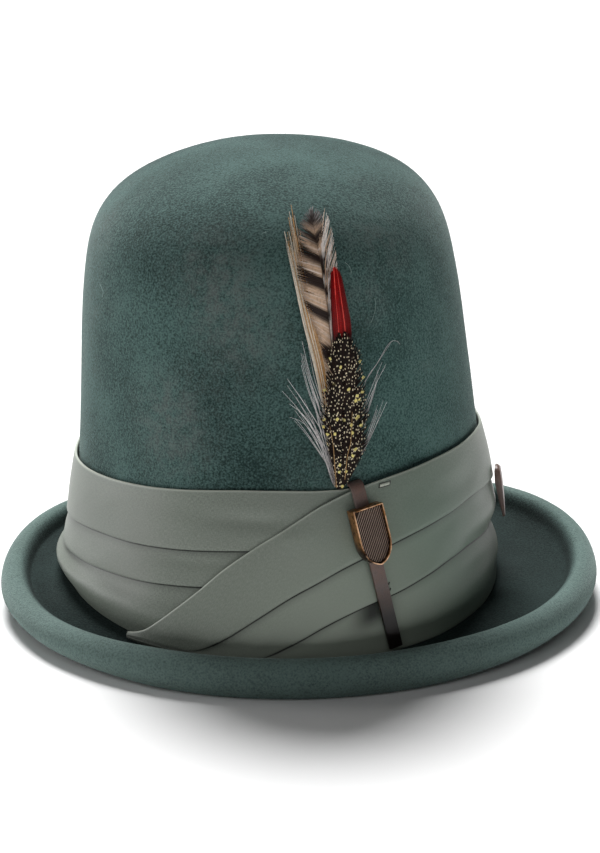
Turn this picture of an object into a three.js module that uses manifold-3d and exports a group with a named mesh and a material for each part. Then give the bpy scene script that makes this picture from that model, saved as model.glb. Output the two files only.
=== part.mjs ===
// A tall derby hat of felt: a round-topped crown, a brim whose edge is turned up and rolled over,
// a pleated satin sash whose end crosses down over its start, a leather strap with a shield slide,
// a small leather tab at the side, and a mount of feathers.
//
// Millimetres. +Z is up, the hat's front faces -Y and +X is the wearer's left. The origin lies under
// the middle of the brim, on the surface that the hat rests on. Angles round the hat run from the
// front (0) through the wearer's left (90) to the back (180) and the wearer's right (270 or -90).

import * as THREE from 'three';
import { mergeVertices } from 'three/addons/utils/BufferGeometryUtils.js';
import Module from 'manifold-3d';

const { Vector2, Vector3 } = THREE;
const { lerp, degToRad, clamp } = THREE.MathUtils;

// Driving sizes of the felt.
const feltThickness = 2.5;
const touchGap = 0.55;
const headAxisX = -7;
const ovalRatio = 1.18;
const sectors = 56;

// The crown's outside: how far it reaches to each side of the head's axis at each height.
const crownRows = [
  { height: 20, right: 86.6, left: 86.0 },
  { height: 60, right: 85.6, left: 85.0 },
  { height: 85, right: 83.9, left: 82.4 },
  { height: 110, right: 82.9, left: 79.4 },
  { height: 132, right: 81.8, left: 76.8 },
  { height: 150, right: 79.8, left: 74.0 },
  { height: 162, right: 77.3, left: 71.2 },
  { height: 171, right: 73.1, left: 67.6 },
  { height: 179, right: 65.8, left: 61.8 },
  { height: 186, right: 54.5, left: 53.4 },
  { height: 192, right: 38.0, left: 38.2 },
  { height: 195.8, right: 19.0, left: 19.4 },
  { height: 196.9, right: 0, left: 0 },
];

// A shallow dent pressed into the crown's lower side.
const dent = { angle: -50, height: 88, spreadAngle: 13, spreadHeight: 24, depth: 2.2 };

// The brim: the roll's middle line is an oval about the origin. The roll's own section is a tall
// oval from the valley over the top and down outside, and its cut edge is turned under. It is
// pressed flat where it rests, at the front and the back.
const rollHalfWidth = 121;
const rollHalfLength = 127.4;
const rollReach = 6.4;
const rollRise = 8.7;
const rollStartAngle = 160;
const rollEndAngle = -110;
const sideLift = 5;
const backLift = 3;
const backLiftPeak = 0.385;
// The roll is pressed lower at the front's two sides.
const rollDips = [
  { angle: -64, spread: 30, depth: 2.7 },
  { angle: 62, spread: 28, depth: 1.5 },
];
const restDepth = 1;
const brimRootHeight = 8;
const brimRootSideRise = 6.2;
const brimRootLean = 3.3;
const brimFillet = 4;
const valleyFlat = 0.68;
const valleyClimb = 0.16;
const valleyParts = [0.4, 0.66, 0.86, 1];
const filletBends = [40, 90];

// How finely the felt's section is divided.
const crownSteps = 15;
const crownFootHeight = 34;
const rollSteps = 12;

// The sash: heights of its upper edge and folds by angle, from its hidden start at the front, round
// the wearer's right, the back and the wearer's left, to the tip that crosses over the start.
// turn counts on past 360 degrees. swell is how fully the pleats stand out, lift how much further the
// upper two do, waist how far the lower fold is drawn in, and over is 1 where the sash lies on its own
// start.
const sashRows = [
  { turn: 330, top: 75.6, fold1: 53.6, fold2: 38.2, swell: 0.7, lift: 1, waist: 1, over: 0 },
  { turn: 345, top: 75.8, fold1: 54.2, fold2: 38.8, swell: 1.0, lift: 1, waist: 1, over: 0 },
  { turn: 360, top: 76.8, fold1: 54.0, fold2: 38.9, swell: 1.0, lift: 1, waist: 1, over: 0 },
  { turn: 373, top: 76.6, fold1: 53.3, fold2: 38.5, swell: 1.0, lift: 1, waist: 1, over: 0 },
  { turn: 388, top: 74.6, fold1: 51.4, fold2: 36.8, swell: 1.0, lift: 1, waist: 1, over: 0 },
  { turn: 401, top: 72.5, fold1: 49.8, fold2: 35.1, swell: 1.0, lift: 1, waist: 1, over: 0 },
  { turn: 417, top: 70.2, fold1: 48.2, fold2: 33.7, swell: 1.08, lift: 1, waist: 1, over: 0 },
  { turn: 436, top: 68.2, fold1: 44.9, fold2: 31.6, swell: 1.2, lift: 1, waist: 1, over: 0 },
  { turn: 450, top: 67.4, fold1: 43.2, fold2: 30.4, swell: 1.2, lift: 1, waist: 1, over: 0 },
  { turn: 495, top: 69.5, fold1: 45.0, fold2: 31.0, swell: 1.1, lift: 1, waist: 1, over: 0 },
  { turn: 540, top: 72.5, fold1: 48.5, fold2: 32.0, swell: 0.95, lift: 1, waist: 1, over: 0 },
  { turn: 585, top: 75.0, fold1: 51.5, fold2: 32.4, swell: 0.8, lift: 1.2, waist: 0.75, over: 0 },
  { turn: 630, top: 77.2, fold1: 54.0, fold2: 32.8, swell: 0.75, lift: 1.55, waist: 0.55, over: 0 },
  { turn: 645, top: 79.4, fold1: 57.2, fold2: 36.3, swell: 0.75, lift: 1.55, waist: 0.55, over: 0.1 },
  { turn: 660, top: 79.8, fold1: 58.6, fold2: 39.3, swell: 0.8, lift: 1.3, waist: 0.6, over: 0.35 },
  { turn: 672, top: 79.9, fold1: 57.4, fold2: 39.4, swell: 0.9, lift: 1.1, waist: 0.8, over: 0.75 },
  { turn: 681, top: 79.2, fold1: 55.8, fold2: 37.1, swell: 1.0, lift: 1, waist: 1, over: 1 },
  { turn: 690, top: 78.1, fold1: 53.1, fold2: 33.6, swell: 1.0, lift: 1, waist: 1, over: 1 },
  { turn: 698, top: 76.2, fold1: 49.8, fold2: 30.8, swell: 1.0, lift: 1, waist: 1, over: 1 },
  { turn: 705, top: 73.2, fold1: 46.0, fold2: 27.2, swell: 1.0, lift: 1, waist: 1, over: 1 },
  { turn: 711, top: 69.3, fold1: 41.6, fold2: 23.0, swell: 1.0, lift: 1, waist: 1, over: 1 },
  { turn: 718, top: 62.9, fold1: 35.9, fold2: 16.9, swell: 1.0, lift: 1, waist: 1, over: 1 },
  { turn: 726, top: 55.3, fold1: 27.4, fold2: 11.0, swell: 1.0, lift: 1, waist: 1, over: 1 },
  { turn: 734, top: 46.0, fold1: 18.4, fold2: 11.0, swell: 1.0, lift: 1, waist: 1, over: 1 },
  { turn: 741, top: 35.6, fold1: 12.6, fold2: 11.6, swell: 1.0, lift: 1, waist: 1, over: 1 },
  { turn: 747, top: 27.0, fold1: 12.8, fold2: 12.2, swell: 1.0, lift: 1, waist: 1, over: 1 },
  { turn: 751, top: 21.4, fold1: 13.0, fold2: 12.6, swell: 1.0, lift: 1, waist: 1, over: 1 },
  { turn: 755, top: 16.6, fold1: 13.4, fold2: 12.9, swell: 1.0, lift: 1, waist: 1, over: 1 },
  { turn: 760, top: 13.6, fold1: 13.0, fold2: 12.6, swell: 1.0, lift: 1, waist: 1, over: 1 },
];
const sashStep = 8;
const crossingStep = 4.6;
const crossingFrom = 675;
const hemGap = 0.5;
const hemStand = 5.6;
const hemCloth = 1.3;

// The sash's section, down its three pleats. Each point lies part of the way between two levels.
// stand is how far it stands off the crown itself, and edge how much of a pleat's edge it shows
// where the sash lies on its own start.
const pleatPoints = [
  { at: 'top', above: 'top', below: 'top', part: 0, stand: 1.6, edge: 0 },
  { at: 'pleat1', above: 'top', below: 'fold1', part: 0.5, stand: 3.2, edge: 0.5 },
  { at: 'fold1', above: 'fold1', below: 'fold1', part: 0, stand: 4.2, edge: 1 },
  { at: 'under1', above: 'under1', below: 'under1', part: 0, stand: 3.3, edge: 0 },
  { at: 'pleat2', above: 'fold1', below: 'fold2', part: 0.6, stand: 4.8, edge: 0.5 },
  { at: 'fold2', above: 'fold2', below: 'fold2', part: 0, stand: 5.6, edge: 1 },
  { at: 'under2', above: 'under2', below: 'under2', part: 0, stand: 4.7, edge: 0 },
  { at: 'belly', above: 'fold2', below: 'hem', part: 0.5, stand: 8.0, edge: 0.8 },
  { at: 'turn', above: 'fold2', below: 'hem', part: 0.7, stand: 7.4, edge: 0.7 },
  { at: 'hem', above: 'hem', below: 'hem', part: 0, stand: hemStand, edge: 0 },
];
const upperPleats = ['top', 'pleat1', 'fold1', 'under1', 'pleat2'];
const foldStep = 0.7;
const foldStepShare = 0.3;
const leastPleat = 0.5;
const leastTopPleat = 0.9;
const thinnest = 1.6;

// Where the sash lies on its own start: how far its inside stands off the crown, and its own cloth.
const overTop = { height: 80, stand: 1.6 };
const overFoot = { height: 20, stand: 9.1 };
const overCloth = 1.3;
const overPleatEdge = 0.8;

// The strap and the slide on it.
const strapWidth = 5.8;
const strapThickness = 1.5;
const strapHigh = { height: 75.4, angle: 20.4 };
const strapLow = { height: 11.6, angle: 26.7 };
const strapRest = { high: 4.4, low: 12.5 };
const strapSteps = 10;
const strapFramePart = 0.4;
const strapProbe = 0.05;
const strapHook = [
  { rise: 1.9, stand: 0.5 },
  { rise: 2.0, stand: 2.4 },
  { rise: 1.3, stand: 3.8 },
];
const shieldWidth = 13.6;
const shieldLength = 24;
const shieldDepth = 6;
const shieldShoulder = 13;
const shieldWaist = 0.75;
const shieldBorder = 1;
const shieldEndShare = 2.6;
const shieldCurveSteps = 5;
const shieldRecess = 0.9;
const inlayThickness = 1.4;
const inlayGap = 0.3;
const shieldHeight = 58.0;
const slotClearance = 0.4;

// The tab at the side: a folded strip, pressed flat, that narrows to its tip.
const tabAngle = 84;
const tabRows = [
  { height: 59.4, stand: 5.8, width: 6, thickness: 1.2 },
  { height: 58.0, stand: 5.5, width: 8.5, thickness: 2.4 },
  { height: 53.0, stand: 5.5, width: 9, thickness: 3.0 },
  { height: 45.0, stand: 6.9, width: 7, thickness: 2.2 },
  { height: 37.4, stand: 8.4, width: 3.5, thickness: 1 },
];

// Each feather: its outline seen from the front, and the layer that it lies in.
const featherLayers = {
  tan_plume: {
    inner: 0.75,
    thickness: 0.9,
    rows: [
      { height: 79.2, from: 14.6, to: 17.4 },
      { height: 100, from: 12.0, to: 17.0 },
      { height: 120, from: 8.0, to: 14.0 },
      { height: 149, from: 0.6, to: 9.0 },
      { height: 170, from: -3.0, to: 6.0 },
      { height: 178, from: -4.2, to: 4.0 },
      { height: 182.5, from: -1.0, to: 1.2 },
    ],
  },
  barred_feather: {
    inner: 2.0,
    thickness: 0.9,
    rows: [
      { height: 79.4, from: 15.2, to: 18.2 },
      { height: 100, from: 13.0, to: 18.2 },
      { height: 116, from: 10.5, to: 18.2 },
      { height: 131, from: 7.6, to: 18.0 },
      { height: 148, from: 3.2, to: 17.2 },
      { height: 164, from: 2.0, to: 16.2 },
      { height: 176, from: 2.2, to: 14.4 },
      { height: 182.8, from: 5.8, to: 8.4 },
    ],
  },
  hackle_fan: {
    inner: 3.3,
    thickness: 0.7,
    rows: [
      { height: 79.6, from: 14.8, to: 18.0 },
      { height: 84, from: 13.0, to: 18.6 },
      { height: 95, from: 6.0, to: 26.0 },
      { height: 108, from: -1.0, to: 33.4 },
      { height: 120, from: -3.0, to: 36.4 },
      { height: 130, from: 2.4, to: 38.2 },
    ],
  },
  red_feather: {
    inner: 4.4,
    thickness: 0.9,
    rows: [
      { height: 80.0, from: 15.6, to: 18.6 },
      { height: 108, from: 14.8, to: 21.8 },
      { height: 136, from: 15.0, to: 22.5 },
      { height: 150, from: 15.0, to: 20.6 },
      { height: 162.8, from: 15.4, to: 17.8 },
    ],
  },
  speckled_feather: {
    inner: 5.7,
    thickness: 1.3,
    rows: [
      { height: 80.4, from: 14.9, to: 19.0 },
      { height: 94, from: 11.2, to: 28.6 },
      { height: 106, from: 8.6, to: 29.0 },
      { height: 118, from: 10.8, to: 27.6 },
      { height: 130, from: 12.8, to: 25.2 },
      { height: 136.8, from: 15.2, to: 21.6 },
    ],
  },
};
const featherSteps = 12;
const featherAcross = 4;
const featherEdge = 0.3;

const finish = {
  felt: { color: 0x3c5552, roughness: 0.95, metalness: 0 },
  satin: { color: 0x73806f, roughness: 0.5, metalness: 0 },
  leather: { color: 0x64504b, roughness: 0.55, metalness: 0 },
  copper: { color: 0x9a6a48, roughness: 0.35, metalness: 0.9 },
  tanFibre: { color: 0xb59a78, roughness: 0.8, metalness: 0 },
  barred: { color: 0x8a7664, roughness: 0.7, metalness: 0 },
  grey: { color: 0x8c8782, roughness: 0.8, metalness: 0 },
  red: { color: 0xa8201c, roughness: 0.4, metalness: 0 },
  speckled: { color: 0x2b2117, roughness: 0.6, metalness: 0 },
};

const hat = new THREE.Group();
hat.name = 'tall_derby_hat';

// Adds one named piece to the hat.
function addPiece(name, geometry, look) {
  const mesh = new THREE.Mesh(geometry, new THREE.MeshStandardMaterial(look));
  mesh.name = name;
  hat.add(mesh);
  return mesh;
}

// Reads a table between its rows: smooth through each row, straight past its ends.
function readRow(rows, key, at, column) {
  const last = rows.length - 1;
  let i = 0;
  while (i < last - 1 && at > rows[i + 1][key]) i += 1;
  const span = rows[i + 1][key] - rows[i][key];
  const part = clamp((at - rows[i][key]) / span, 0, 1);
  const slopeAt = (k) => {
    const a = rows[Math.max(k - 1, 0)];
    const b = rows[Math.min(k + 1, last)];
    return ((b[column] - a[column]) / (b[key] - a[key])) * span;
  };
  const start = rows[i][column];
  const end = rows[i + 1][column];
  const p2 = part * part;
  const p3 = p2 * part;
  return (2 * p3 - 3 * p2 + 1) * start + (p3 - 2 * p2 + part) * slopeAt(i)
    + (3 * p2 - 2 * p3) * end + (p3 - p2) * slopeAt(i + 1);
}

// Skins a row of ribbon-like sections. Each section lists its outer points and then its inner ones
// in reverse, so point k faces point (count - 1 - k) and an end is closed by the strips between.
function loft(sections, closed) {
  const count = sections[0].length;
  const half = count / 2;
  const positions = [];
  const quad = (a, b, c, d) => {
    for (const p of [a, b, c, a, c, d]) positions.push(p.x, p.y, p.z);
  };
  const stretches = closed ? sections.length : sections.length - 1;
  for (let i = 0; i < stretches; i += 1) {
    const here = sections[i];
    const next = sections[(i + 1) % sections.length];
    for (let k = 0; k < count; k += 1) {
      const up = (k + 1) % count;
      quad(here[k], next[k], next[up], here[up]);
    }
  }
  if (!closed) {
    const first = sections[0];
    const end = sections[sections.length - 1];
    for (let k = 0; k < half - 1; k += 1) {
      quad(first[k], first[k + 1], first[count - 2 - k], first[count - 1 - k]);
      quad(end[k + 1], end[k], end[count - 1 - k], end[count - 2 - k]);
    }
  }
  const geometry = new THREE.BufferGeometry();
  geometry.setAttribute('position', new THREE.Float32BufferAttribute(positions, 3));
  return closeUp(geometry);
}

// Merges shared corners, drops faces that have shrunk to a line and turns the faces outwards.
function closeUp(loose) {
  const geometry = mergeVertices(loose, 1e-4);
  const corners = geometry.index.array;
  const place = geometry.attributes.position;
  const kept = [];
  let volume = 0;
  for (let i = 0; i < corners.length; i += 3) {
    const [a, b, c] = corners.slice(i, i + 3);
    if (a === b || b === c || c === a) continue;
    kept.push(a, b, c);
    const [pa, pb, pc] = [a, b, c].map((n) => new Vector3().fromBufferAttribute(place, n));
    volume += pa.dot(pb.cross(pc));
  }
  if (volume < 0) kept.reverse();
  geometry.setIndex(kept);
  geometry.computeVertexNormals();
  return geometry;
}

const crownCurve = new THREE.CatmullRomCurve3(
  crownRows.map((row) => new Vector3(row.right, row.left, row.height)),
  false,
  'centripetal',
);

// Where on the crown's curve a height lies.
function curvePartAt(height) {
  let low = 0;
  let high = 1;
  for (let i = 0; i < 30; i += 1) {
    const middle = (low + high) / 2;
    if (crownCurve.getPoint(middle).z < height) low = middle;
    else high = middle;
  }
  return (low + high) / 2;
}

function dentDepth(angle, height) {
  const off = ((((angle - dent.angle) % 360) + 540) % 360) - 180;
  const across = off / dent.spreadAngle;
  const along = (height - dent.height) / dent.spreadHeight;
  return dent.depth * Math.exp(-(across * across + along * along) / 2);
}

// A point on the crown's outside, or standing off it by a distance.
function onCrown(angle, height, stand = 0, part = curvePartAt(Math.max(height, crownRows[0].height))) {
  const reach = crownCurve.getPoint(part);
  const turn = degToRad(angle);
  const side = Math.sin(turn) < 0 ? reach.x : reach.y;
  const length = (ovalRatio * (reach.x + reach.y)) / 2;
  const out = stand - dentDepth(angle, height);
  const steer = new Vector2(Math.sin(turn) / Math.max(side, 1), -Math.cos(turn) / Math.max(length, 1));
  steer.normalize();
  return new Vector3(
    headAxisX + side * Math.sin(turn) + out * steer.x,
    -length * Math.cos(turn) + out * steer.y,
    height,
  );
}

// A point off the crown along its true normal, for what lies on the rounded top.
function offCrown(angle, height, stand) {
  const here = onCrown(angle, height);
  const beside = onCrown(angle + 1, height).sub(here);
  const above = onCrown(angle, height + 0.5).sub(here);
  return here.addScaledVector(beside.cross(above).normalize(), stand);
}

// How far the roll's underside stands up at an angle: at the sides, and more behind them.
function rollLift(angle) {
  const turn = degToRad(angle);
  const sideways = Math.sin(turn) ** 2;
  const behind = Math.max(0, -Math.cos(turn)) * sideways;
  return sideLift * sideways + (backLift * behind) / backLiftPeak;
}

// Half the roll's height at an angle.
function rollRiseAt(angle) {
  const near = (((angle % 360) + 540) % 360) - 180;
  let rise = rollRise;
  for (const dip of rollDips) rise -= dip.depth * Math.exp(-(((near - dip.angle) / dip.spread) ** 2));
  return rise;
}

// Height of the brim's upper face where it leaves the crown.
function brimRoot(angle) {
  const sideways = (1 - Math.cos(2 * degToRad(angle))) / 2;
  return brimRootHeight + sideways * (brimRootSideRise - brimRootLean * Math.sin(degToRad(angle)));
}

// The brim's section at an angle: where it starts at the crown's foot, which way it runs out, the
// rising valley and the middle of the roll.
function brimSection(angle) {
  const turn = degToRad(angle);
  const root = brimRoot(angle);
  const foot = onCrown(angle, root + brimFillet);
  const crest = new Vector3(rollHalfWidth * Math.sin(turn), -rollHalfLength * Math.cos(turn), foot.z);
  const outward = crest.sub(foot);
  const width = outward.length();
  outward.normalize();
  const lift = rollLift(angle);
  const rise = rollRiseAt(angle);
  const middle = rise - restDepth + lift;
  const roll = (bend) => new Vector2(
    width + rollReach * Math.cos(degToRad(bend)),
    middle + rise * Math.sin(degToRad(bend)),
  );
  const rollStart = roll(rollStartAngle);
  const climb = roll(rollStartAngle - 1).sub(rollStart).normalize();
  const run = rollStart.x - brimFillet;
  const valley = new THREE.CubicBezierCurve(
    new Vector2(brimFillet, root),
    new Vector2(brimFillet + run * valleyFlat, root),
    rollStart.clone().addScaledVector(climb, -run * valleyClimb),
    rollStart,
  );
  const place = (across, height) => foot.clone().addScaledVector(outward, across).setZ(height);
  return { root, foot, valley, roll, place };
}

// Height of the brim's upper face at a distance out from the crown.
function brimHeight(angle, across) {
  const { valley } = brimSection(angle);
  let low = 0;
  let high = 1;
  for (let i = 0; i < 20; i += 1) {
    const part = (low + high) / 2;
    if (valley.getPoint(part).x < across) low = part;
    else high = part;
  }
  return valley.getPoint(low).y;
}

// One section of the felt's visible face: from the crown's top down to the brim, up over the roll
// and down to its edge.
function feltFace(angle) {
  const topHeight = crownRows[crownRows.length - 1].height;
  const points = [new Vector3(headAxisX, 0, topHeight)];
  const footPart = curvePartAt(crownFootHeight);
  for (let i = 1; i <= crownSteps; i += 1) {
    const part = lerp(1, footPart, i / crownSteps);
    points.push(onCrown(angle, crownCurve.getPoint(part).z, 0, part));
  }
  const { root, foot, valley, roll, place } = brimSection(angle);
  points.push(foot);
  for (const bend of filletBends) {
    const b = degToRad(bend);
    points.push(place(brimFillet * (1 - Math.cos(b)), root + brimFillet * (1 - Math.sin(b))));
  }
  const line = valleyParts.map((part) => valley.getPoint(part));
  for (let i = 1; i <= rollSteps; i += 1) {
    line.push(roll(lerp(rollStartAngle, rollEndAngle, i / rollSteps)));
  }
  for (const { x, y } of line) points.push(place(x, Math.max(y, 0)));
  return points;
}

// The felt: the visible face, and the hidden face one thickness behind it.
function makeFelt() {
  const faces = [];
  for (let i = 0; i < sectors; i += 1) faces.push(feltFace((360 * i) / sectors));
  const sections = faces.map((face, i) => {
    const before = faces[(i + sectors - 1) % sectors];
    const after = faces[(i + 1) % sectors];
    const hidden = face.map((point, k) => {
      if (k === 0) return point.clone().add(new Vector3(0, 0, -feltThickness));
      const down = face[Math.min(k + 1, face.length - 1)].clone().sub(face[k - 1]);
      const round = after[k].clone().sub(before[k]);
      const normal = round.cross(down).normalize();
      return point.clone().addScaledVector(normal, feltThickness);
    });
    return face.concat(hidden.reverse());
  });
  return loft(sections, true);
}

// How far the inside of the sash stands off the crown where it lies on its own start.
function overStand(height) {
  const part = (overTop.height - height) / (overTop.height - overFoot.height);
  return lerp(overTop.stand, overFoot.stand, clamp(part, 0, 1));
}

// One section of the sash: its three pleats outside and its plain inside.
function sashSection(turn) {
  const row = {};
  for (const column of ['top', 'fold1', 'fold2', 'swell', 'lift', 'waist', 'over']) {
    row[column] = readRow(sashRows, 'turn', turn, column);
  }
  const over = clamp(row.over, 0, 1);
  row.hem = brimHeight(-turn, lerp(hemStand, overFoot.stand + overCloth, over)) + hemGap;
  row.fold2 = Math.max(row.fold2, row.hem + leastPleat);
  row.fold1 = Math.max(row.fold1, row.fold2 + leastPleat);
  row.top = Math.max(row.top, row.fold1 + leastTopPleat);
  row.under1 = row.fold1 - Math.min(foldStep, (row.fold1 - row.fold2) * foldStepShare);
  row.under2 = row.fold2 - Math.min(foldStep, (row.fold2 - row.hem) * foldStepShare);
  const outer = [];
  const inner = [];
  for (const { at, above, below, part, stand, edge } of pleatPoints) {
    const height = lerp(row[above], row[below], part);
    const drawnIn = at === 'fold2' || at === 'under2' ? row.waist : 1;
    const lifted = upperPleats.includes(at) ? row.lift : 1;
    const alone = at === 'hem' ? hemStand : Math.max(thinnest, stand * row.swell * drawnIn * lifted);
    const laid = overStand(height) + overCloth + overPleatEdge * edge;
    const inside = lerp(at === 'hem' ? hemStand - hemCloth : touchGap, overStand(height), over);
    outer.push(onCrown(-turn, height, lerp(alone, laid, over)));
    inner.push(onCrown(-turn, height, inside));
  }
  return outer.concat(inner.reverse());
}

function makeSash() {
  const first = sashRows[0].turn;
  const last = sashRows[sashRows.length - 1].turn;
  const sections = [];
  let turn = first;
  while (turn < last) {
    sections.push(sashSection(turn));
    turn += turn < crossingFrom ? sashStep : crossingStep;
  }
  sections.push(sashSection(last));
  return loft(sections, false);
}

// The strap's line down the front, as angle, height and distance off the crown.
function strapLine(part) {
  return {
    angle: lerp(strapHigh.angle, strapLow.angle, part),
    height: lerp(strapHigh.height, strapLow.height, part),
    stand: lerp(strapRest.high, strapRest.low, part),
  };
}

// A band along points, with its width along one direction, and as wide and as thick at each point as
// the sizes there say.
function makeBand(points, across, sizes) {
  const sections = points.map((point, i) => {
    const before = points[Math.max(i - 1, 0)];
    const after = points[Math.min(i + 1, points.length - 1)];
    const along = after.clone().sub(before).normalize();
    const out = along.clone().cross(across).normalize().multiplyScalar(sizes[i].thickness);
    const side = across.clone().multiplyScalar(sizes[i].width / 2);
    return [
      point.clone().add(side).add(out),
      point.clone().sub(side).add(out),
      point.clone().sub(side),
      point.clone().add(side),
    ];
  });
  return loft(sections, false);
}

// The level direction along the crown, towards growing angles.
function levelAt(angle, height) {
  return onCrown(angle + 2, height).sub(onCrown(angle - 2, height)).normalize();
}

// Directions at the strap: across it, up along it, and out from the hat.
function strapFrame(part) {
  const at = ({ angle, height, stand }) => onCrown(angle, height, stand);
  const here = at(strapLine(part));
  const up = at(strapLine(part - strapProbe)).sub(at(strapLine(part + strapProbe))).normalize();
  const level = levelAt(strapLine(part).angle, strapLine(part).height);
  const out = level.clone().cross(up).normalize();
  const across = up.clone().cross(out).normalize();
  return { here, across, up, out };
}

function makeStrap() {
  const points = [];
  const top = strapLine(0);
  for (const { rise, stand } of strapHook) points.push(onCrown(top.angle, top.height + rise, stand));
  for (let i = 0; i <= strapSteps; i += 1) {
    const { angle, height, stand } = strapLine(i / strapSteps);
    points.push(onCrown(angle, height, stand));
  }
  const { across } = strapFrame(strapFramePart);
  const size = { width: strapWidth, thickness: strapThickness };
  return makeBand(points, across, points.map(() => size));
}

// A shield's outline about its middle: square shoulders, and sides that curve in to a point.
function shieldOutline(width, length) {
  const half = width / 2;
  const top = length / 2;
  const shoulder = top - (shieldShoulder * length) / shieldLength;
  const outline = new THREE.Shape();
  outline.moveTo(-half, top);
  outline.lineTo(-half, shoulder);
  outline.quadraticCurveTo(-half, -top * shieldWaist, 0, -top);
  outline.quadraticCurveTo(half, -top * shieldWaist, half, shoulder);
  outline.lineTo(half, top);
  outline.closePath();
  return outline;
}

// Where the slide sits on the strap, with its own +Z out from the hat.
function shieldPlace() {
  const part = (strapHigh.height - shieldHeight) / (strapHigh.height - strapLow.height);
  const { here, across, up, out } = strapFrame(part);
  return new THREE.Matrix4().makeBasis(across, up, out).setPosition(here);
}

const wasm = await Module();
wasm.setup();

// A closed three.js geometry as a solid that can be cut.
function toSolid(geometry) {
  const bare = geometry.clone();
  bare.deleteAttribute('normal');
  bare.deleteAttribute('uv');
  const merged = mergeVertices(bare, 1e-4);
  return new wasm.Manifold(new wasm.Mesh({
    numProp: 3,
    vertProperties: new Float32Array(merged.attributes.position.array),
    triVerts: new Uint32Array(merged.index.array),
  }));
}

function toGeometry(solid) {
  const mesh = solid.getMesh();
  const geometry = new THREE.BufferGeometry();
  geometry.setAttribute('position', new THREE.Float32BufferAttribute(mesh.vertProperties, 3));
  geometry.setIndex(Array.from(mesh.triVerts));
  geometry.computeVertexNormals();
  return geometry;
}

// The slide: a deep shield-shaped wall, hollow from the back, with a way through for the strap.
function makeShieldFrame() {
  const outline = shieldOutline(shieldWidth, shieldLength);
  const inside = shieldOutline(
    shieldWidth - 2 * shieldBorder,
    shieldLength - shieldEndShare * shieldBorder,
  );
  outline.holes.push(inside);
  const wall = new THREE.ExtrudeGeometry(outline, {
    depth: shieldDepth,
    bevelEnabled: false,
    curveSegments: shieldCurveSteps,
  });
  const way = new THREE.BoxGeometry(
    strapWidth + 2 * slotClearance,
    shieldLength * 2,
    2 * (strapThickness + slotClearance),
  );
  return toGeometry(toSolid(wall).subtract(toSolid(way))).applyMatrix4(shieldPlace());
}

function makeShieldInlay() {
  const room = shieldBorder + inlayGap;
  const outline = shieldOutline(shieldWidth - 2 * room, shieldLength - shieldEndShare * room);
  const plate = new THREE.ExtrudeGeometry(outline, {
    depth: inlayThickness,
    bevelEnabled: false,
    curveSegments: shieldCurveSteps,
  });
  plate.translate(0, 0, shieldDepth - shieldRecess - inlayThickness);
  return plate.applyMatrix4(shieldPlace());
}

function makeTab() {
  const points = tabRows.map(({ height, stand }) => onCrown(tabAngle, height, stand));
  const level = levelAt(tabAngle, tabRows[0].height);
  return makeBand(points, level, tabRows);
}

// The angle at which a point seen at a distance across the front lies on the crown.
function angleAcross(across, height) {
  const reach = crownCurve.getPoint(curvePartAt(height));
  const side = across < headAxisX ? reach.x : reach.y;
  return THREE.MathUtils.radToDeg(Math.asin(clamp((across - headAxisX) / side, -1, 1)));
}

// A feather's body: a thin leaf that follows the crown, thickest along its middle.
function makeFeather({ inner, thickness, rows }) {
  const sections = [];
  for (let i = 0; i <= featherSteps; i += 1) {
    const height = lerp(rows[0].height, rows[rows.length - 1].height, i / featherSteps);
    const from = readRow(rows, 'height', height, 'from');
    const to = readRow(rows, 'height', height, 'to');
    const front = [];
    const back = [];
    for (let k = 0; k <= featherAcross; k += 1) {
      const across = lerp(from, to, k / featherAcross);
      const middle = Math.sin((Math.PI * k) / featherAcross);
      const thick = lerp(featherEdge, thickness, middle);
      const angle = angleAcross(across, height);
      front.push(offCrown(angle, height, inner + thick));
      back.push(offCrown(angle, height, inner));
    }
    sections.push(front.concat(back.reverse()));
  }
  return loft(sections, false);
}

addPiece('felt_body', makeFelt(), finish.felt);
addPiece('pleated_sash', makeSash(), finish.satin);
addPiece('front_strap', makeStrap(), finish.leather);
addPiece('shield_frame', makeShieldFrame(), finish.copper);
addPiece('shield_inlay', makeShieldInlay(), finish.copper);
addPiece('side_tab', makeTab(), finish.leather);
addPiece('tan_plume', makeFeather(featherLayers.tan_plume), finish.tanFibre);
addPiece('barred_feather', makeFeather(featherLayers.barred_feather), finish.barred);
addPiece('hackle_fan', makeFeather(featherLayers.hackle_fan), finish.grey);
addPiece('red_feather', makeFeather(featherLayers.red_feather), finish.red);
addPiece('speckled_feather', makeFeather(featherLayers.speckled_feather), finish.speckled);

export default hat;
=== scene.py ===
"""Looks of a tall derby hat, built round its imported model.

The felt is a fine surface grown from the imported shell, with a short nap of its own fibres. The sash is one
strip of satin folded in three pleats, and its end crosses down over its start. A leather strap with a
shield slide, a small tab, a thread tack and a mount of feathers made barb by barb lie on them.

Metres, +Z up. The hat's front faces -Y and +X is the wearer's left. Angles round the hat run from the front
(0) through the wearer's left (90) to the back (180).
"""

import logging
import math
import random
from collections.abc import Callable, Sequence
from dataclasses import dataclass, field
from enum import Enum

import bpy
import numpy as np
from mathutils import Matrix, Vector, noise
from mathutils.bvhtree import BVHTree


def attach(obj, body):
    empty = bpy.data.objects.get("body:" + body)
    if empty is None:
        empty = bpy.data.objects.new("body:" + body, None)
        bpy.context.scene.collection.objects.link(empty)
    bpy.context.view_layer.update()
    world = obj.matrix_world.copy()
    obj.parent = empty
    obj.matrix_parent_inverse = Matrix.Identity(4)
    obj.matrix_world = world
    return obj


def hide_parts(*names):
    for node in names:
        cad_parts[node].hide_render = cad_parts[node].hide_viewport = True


LOG = logging.getLogger("derby_hat")
MM = 0.001
BODY = "root"
SEEN_FROM = math.radians(16)
RAY_START = -250 * MM
FORWARDS = Vector((0, 1, 0))

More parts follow.
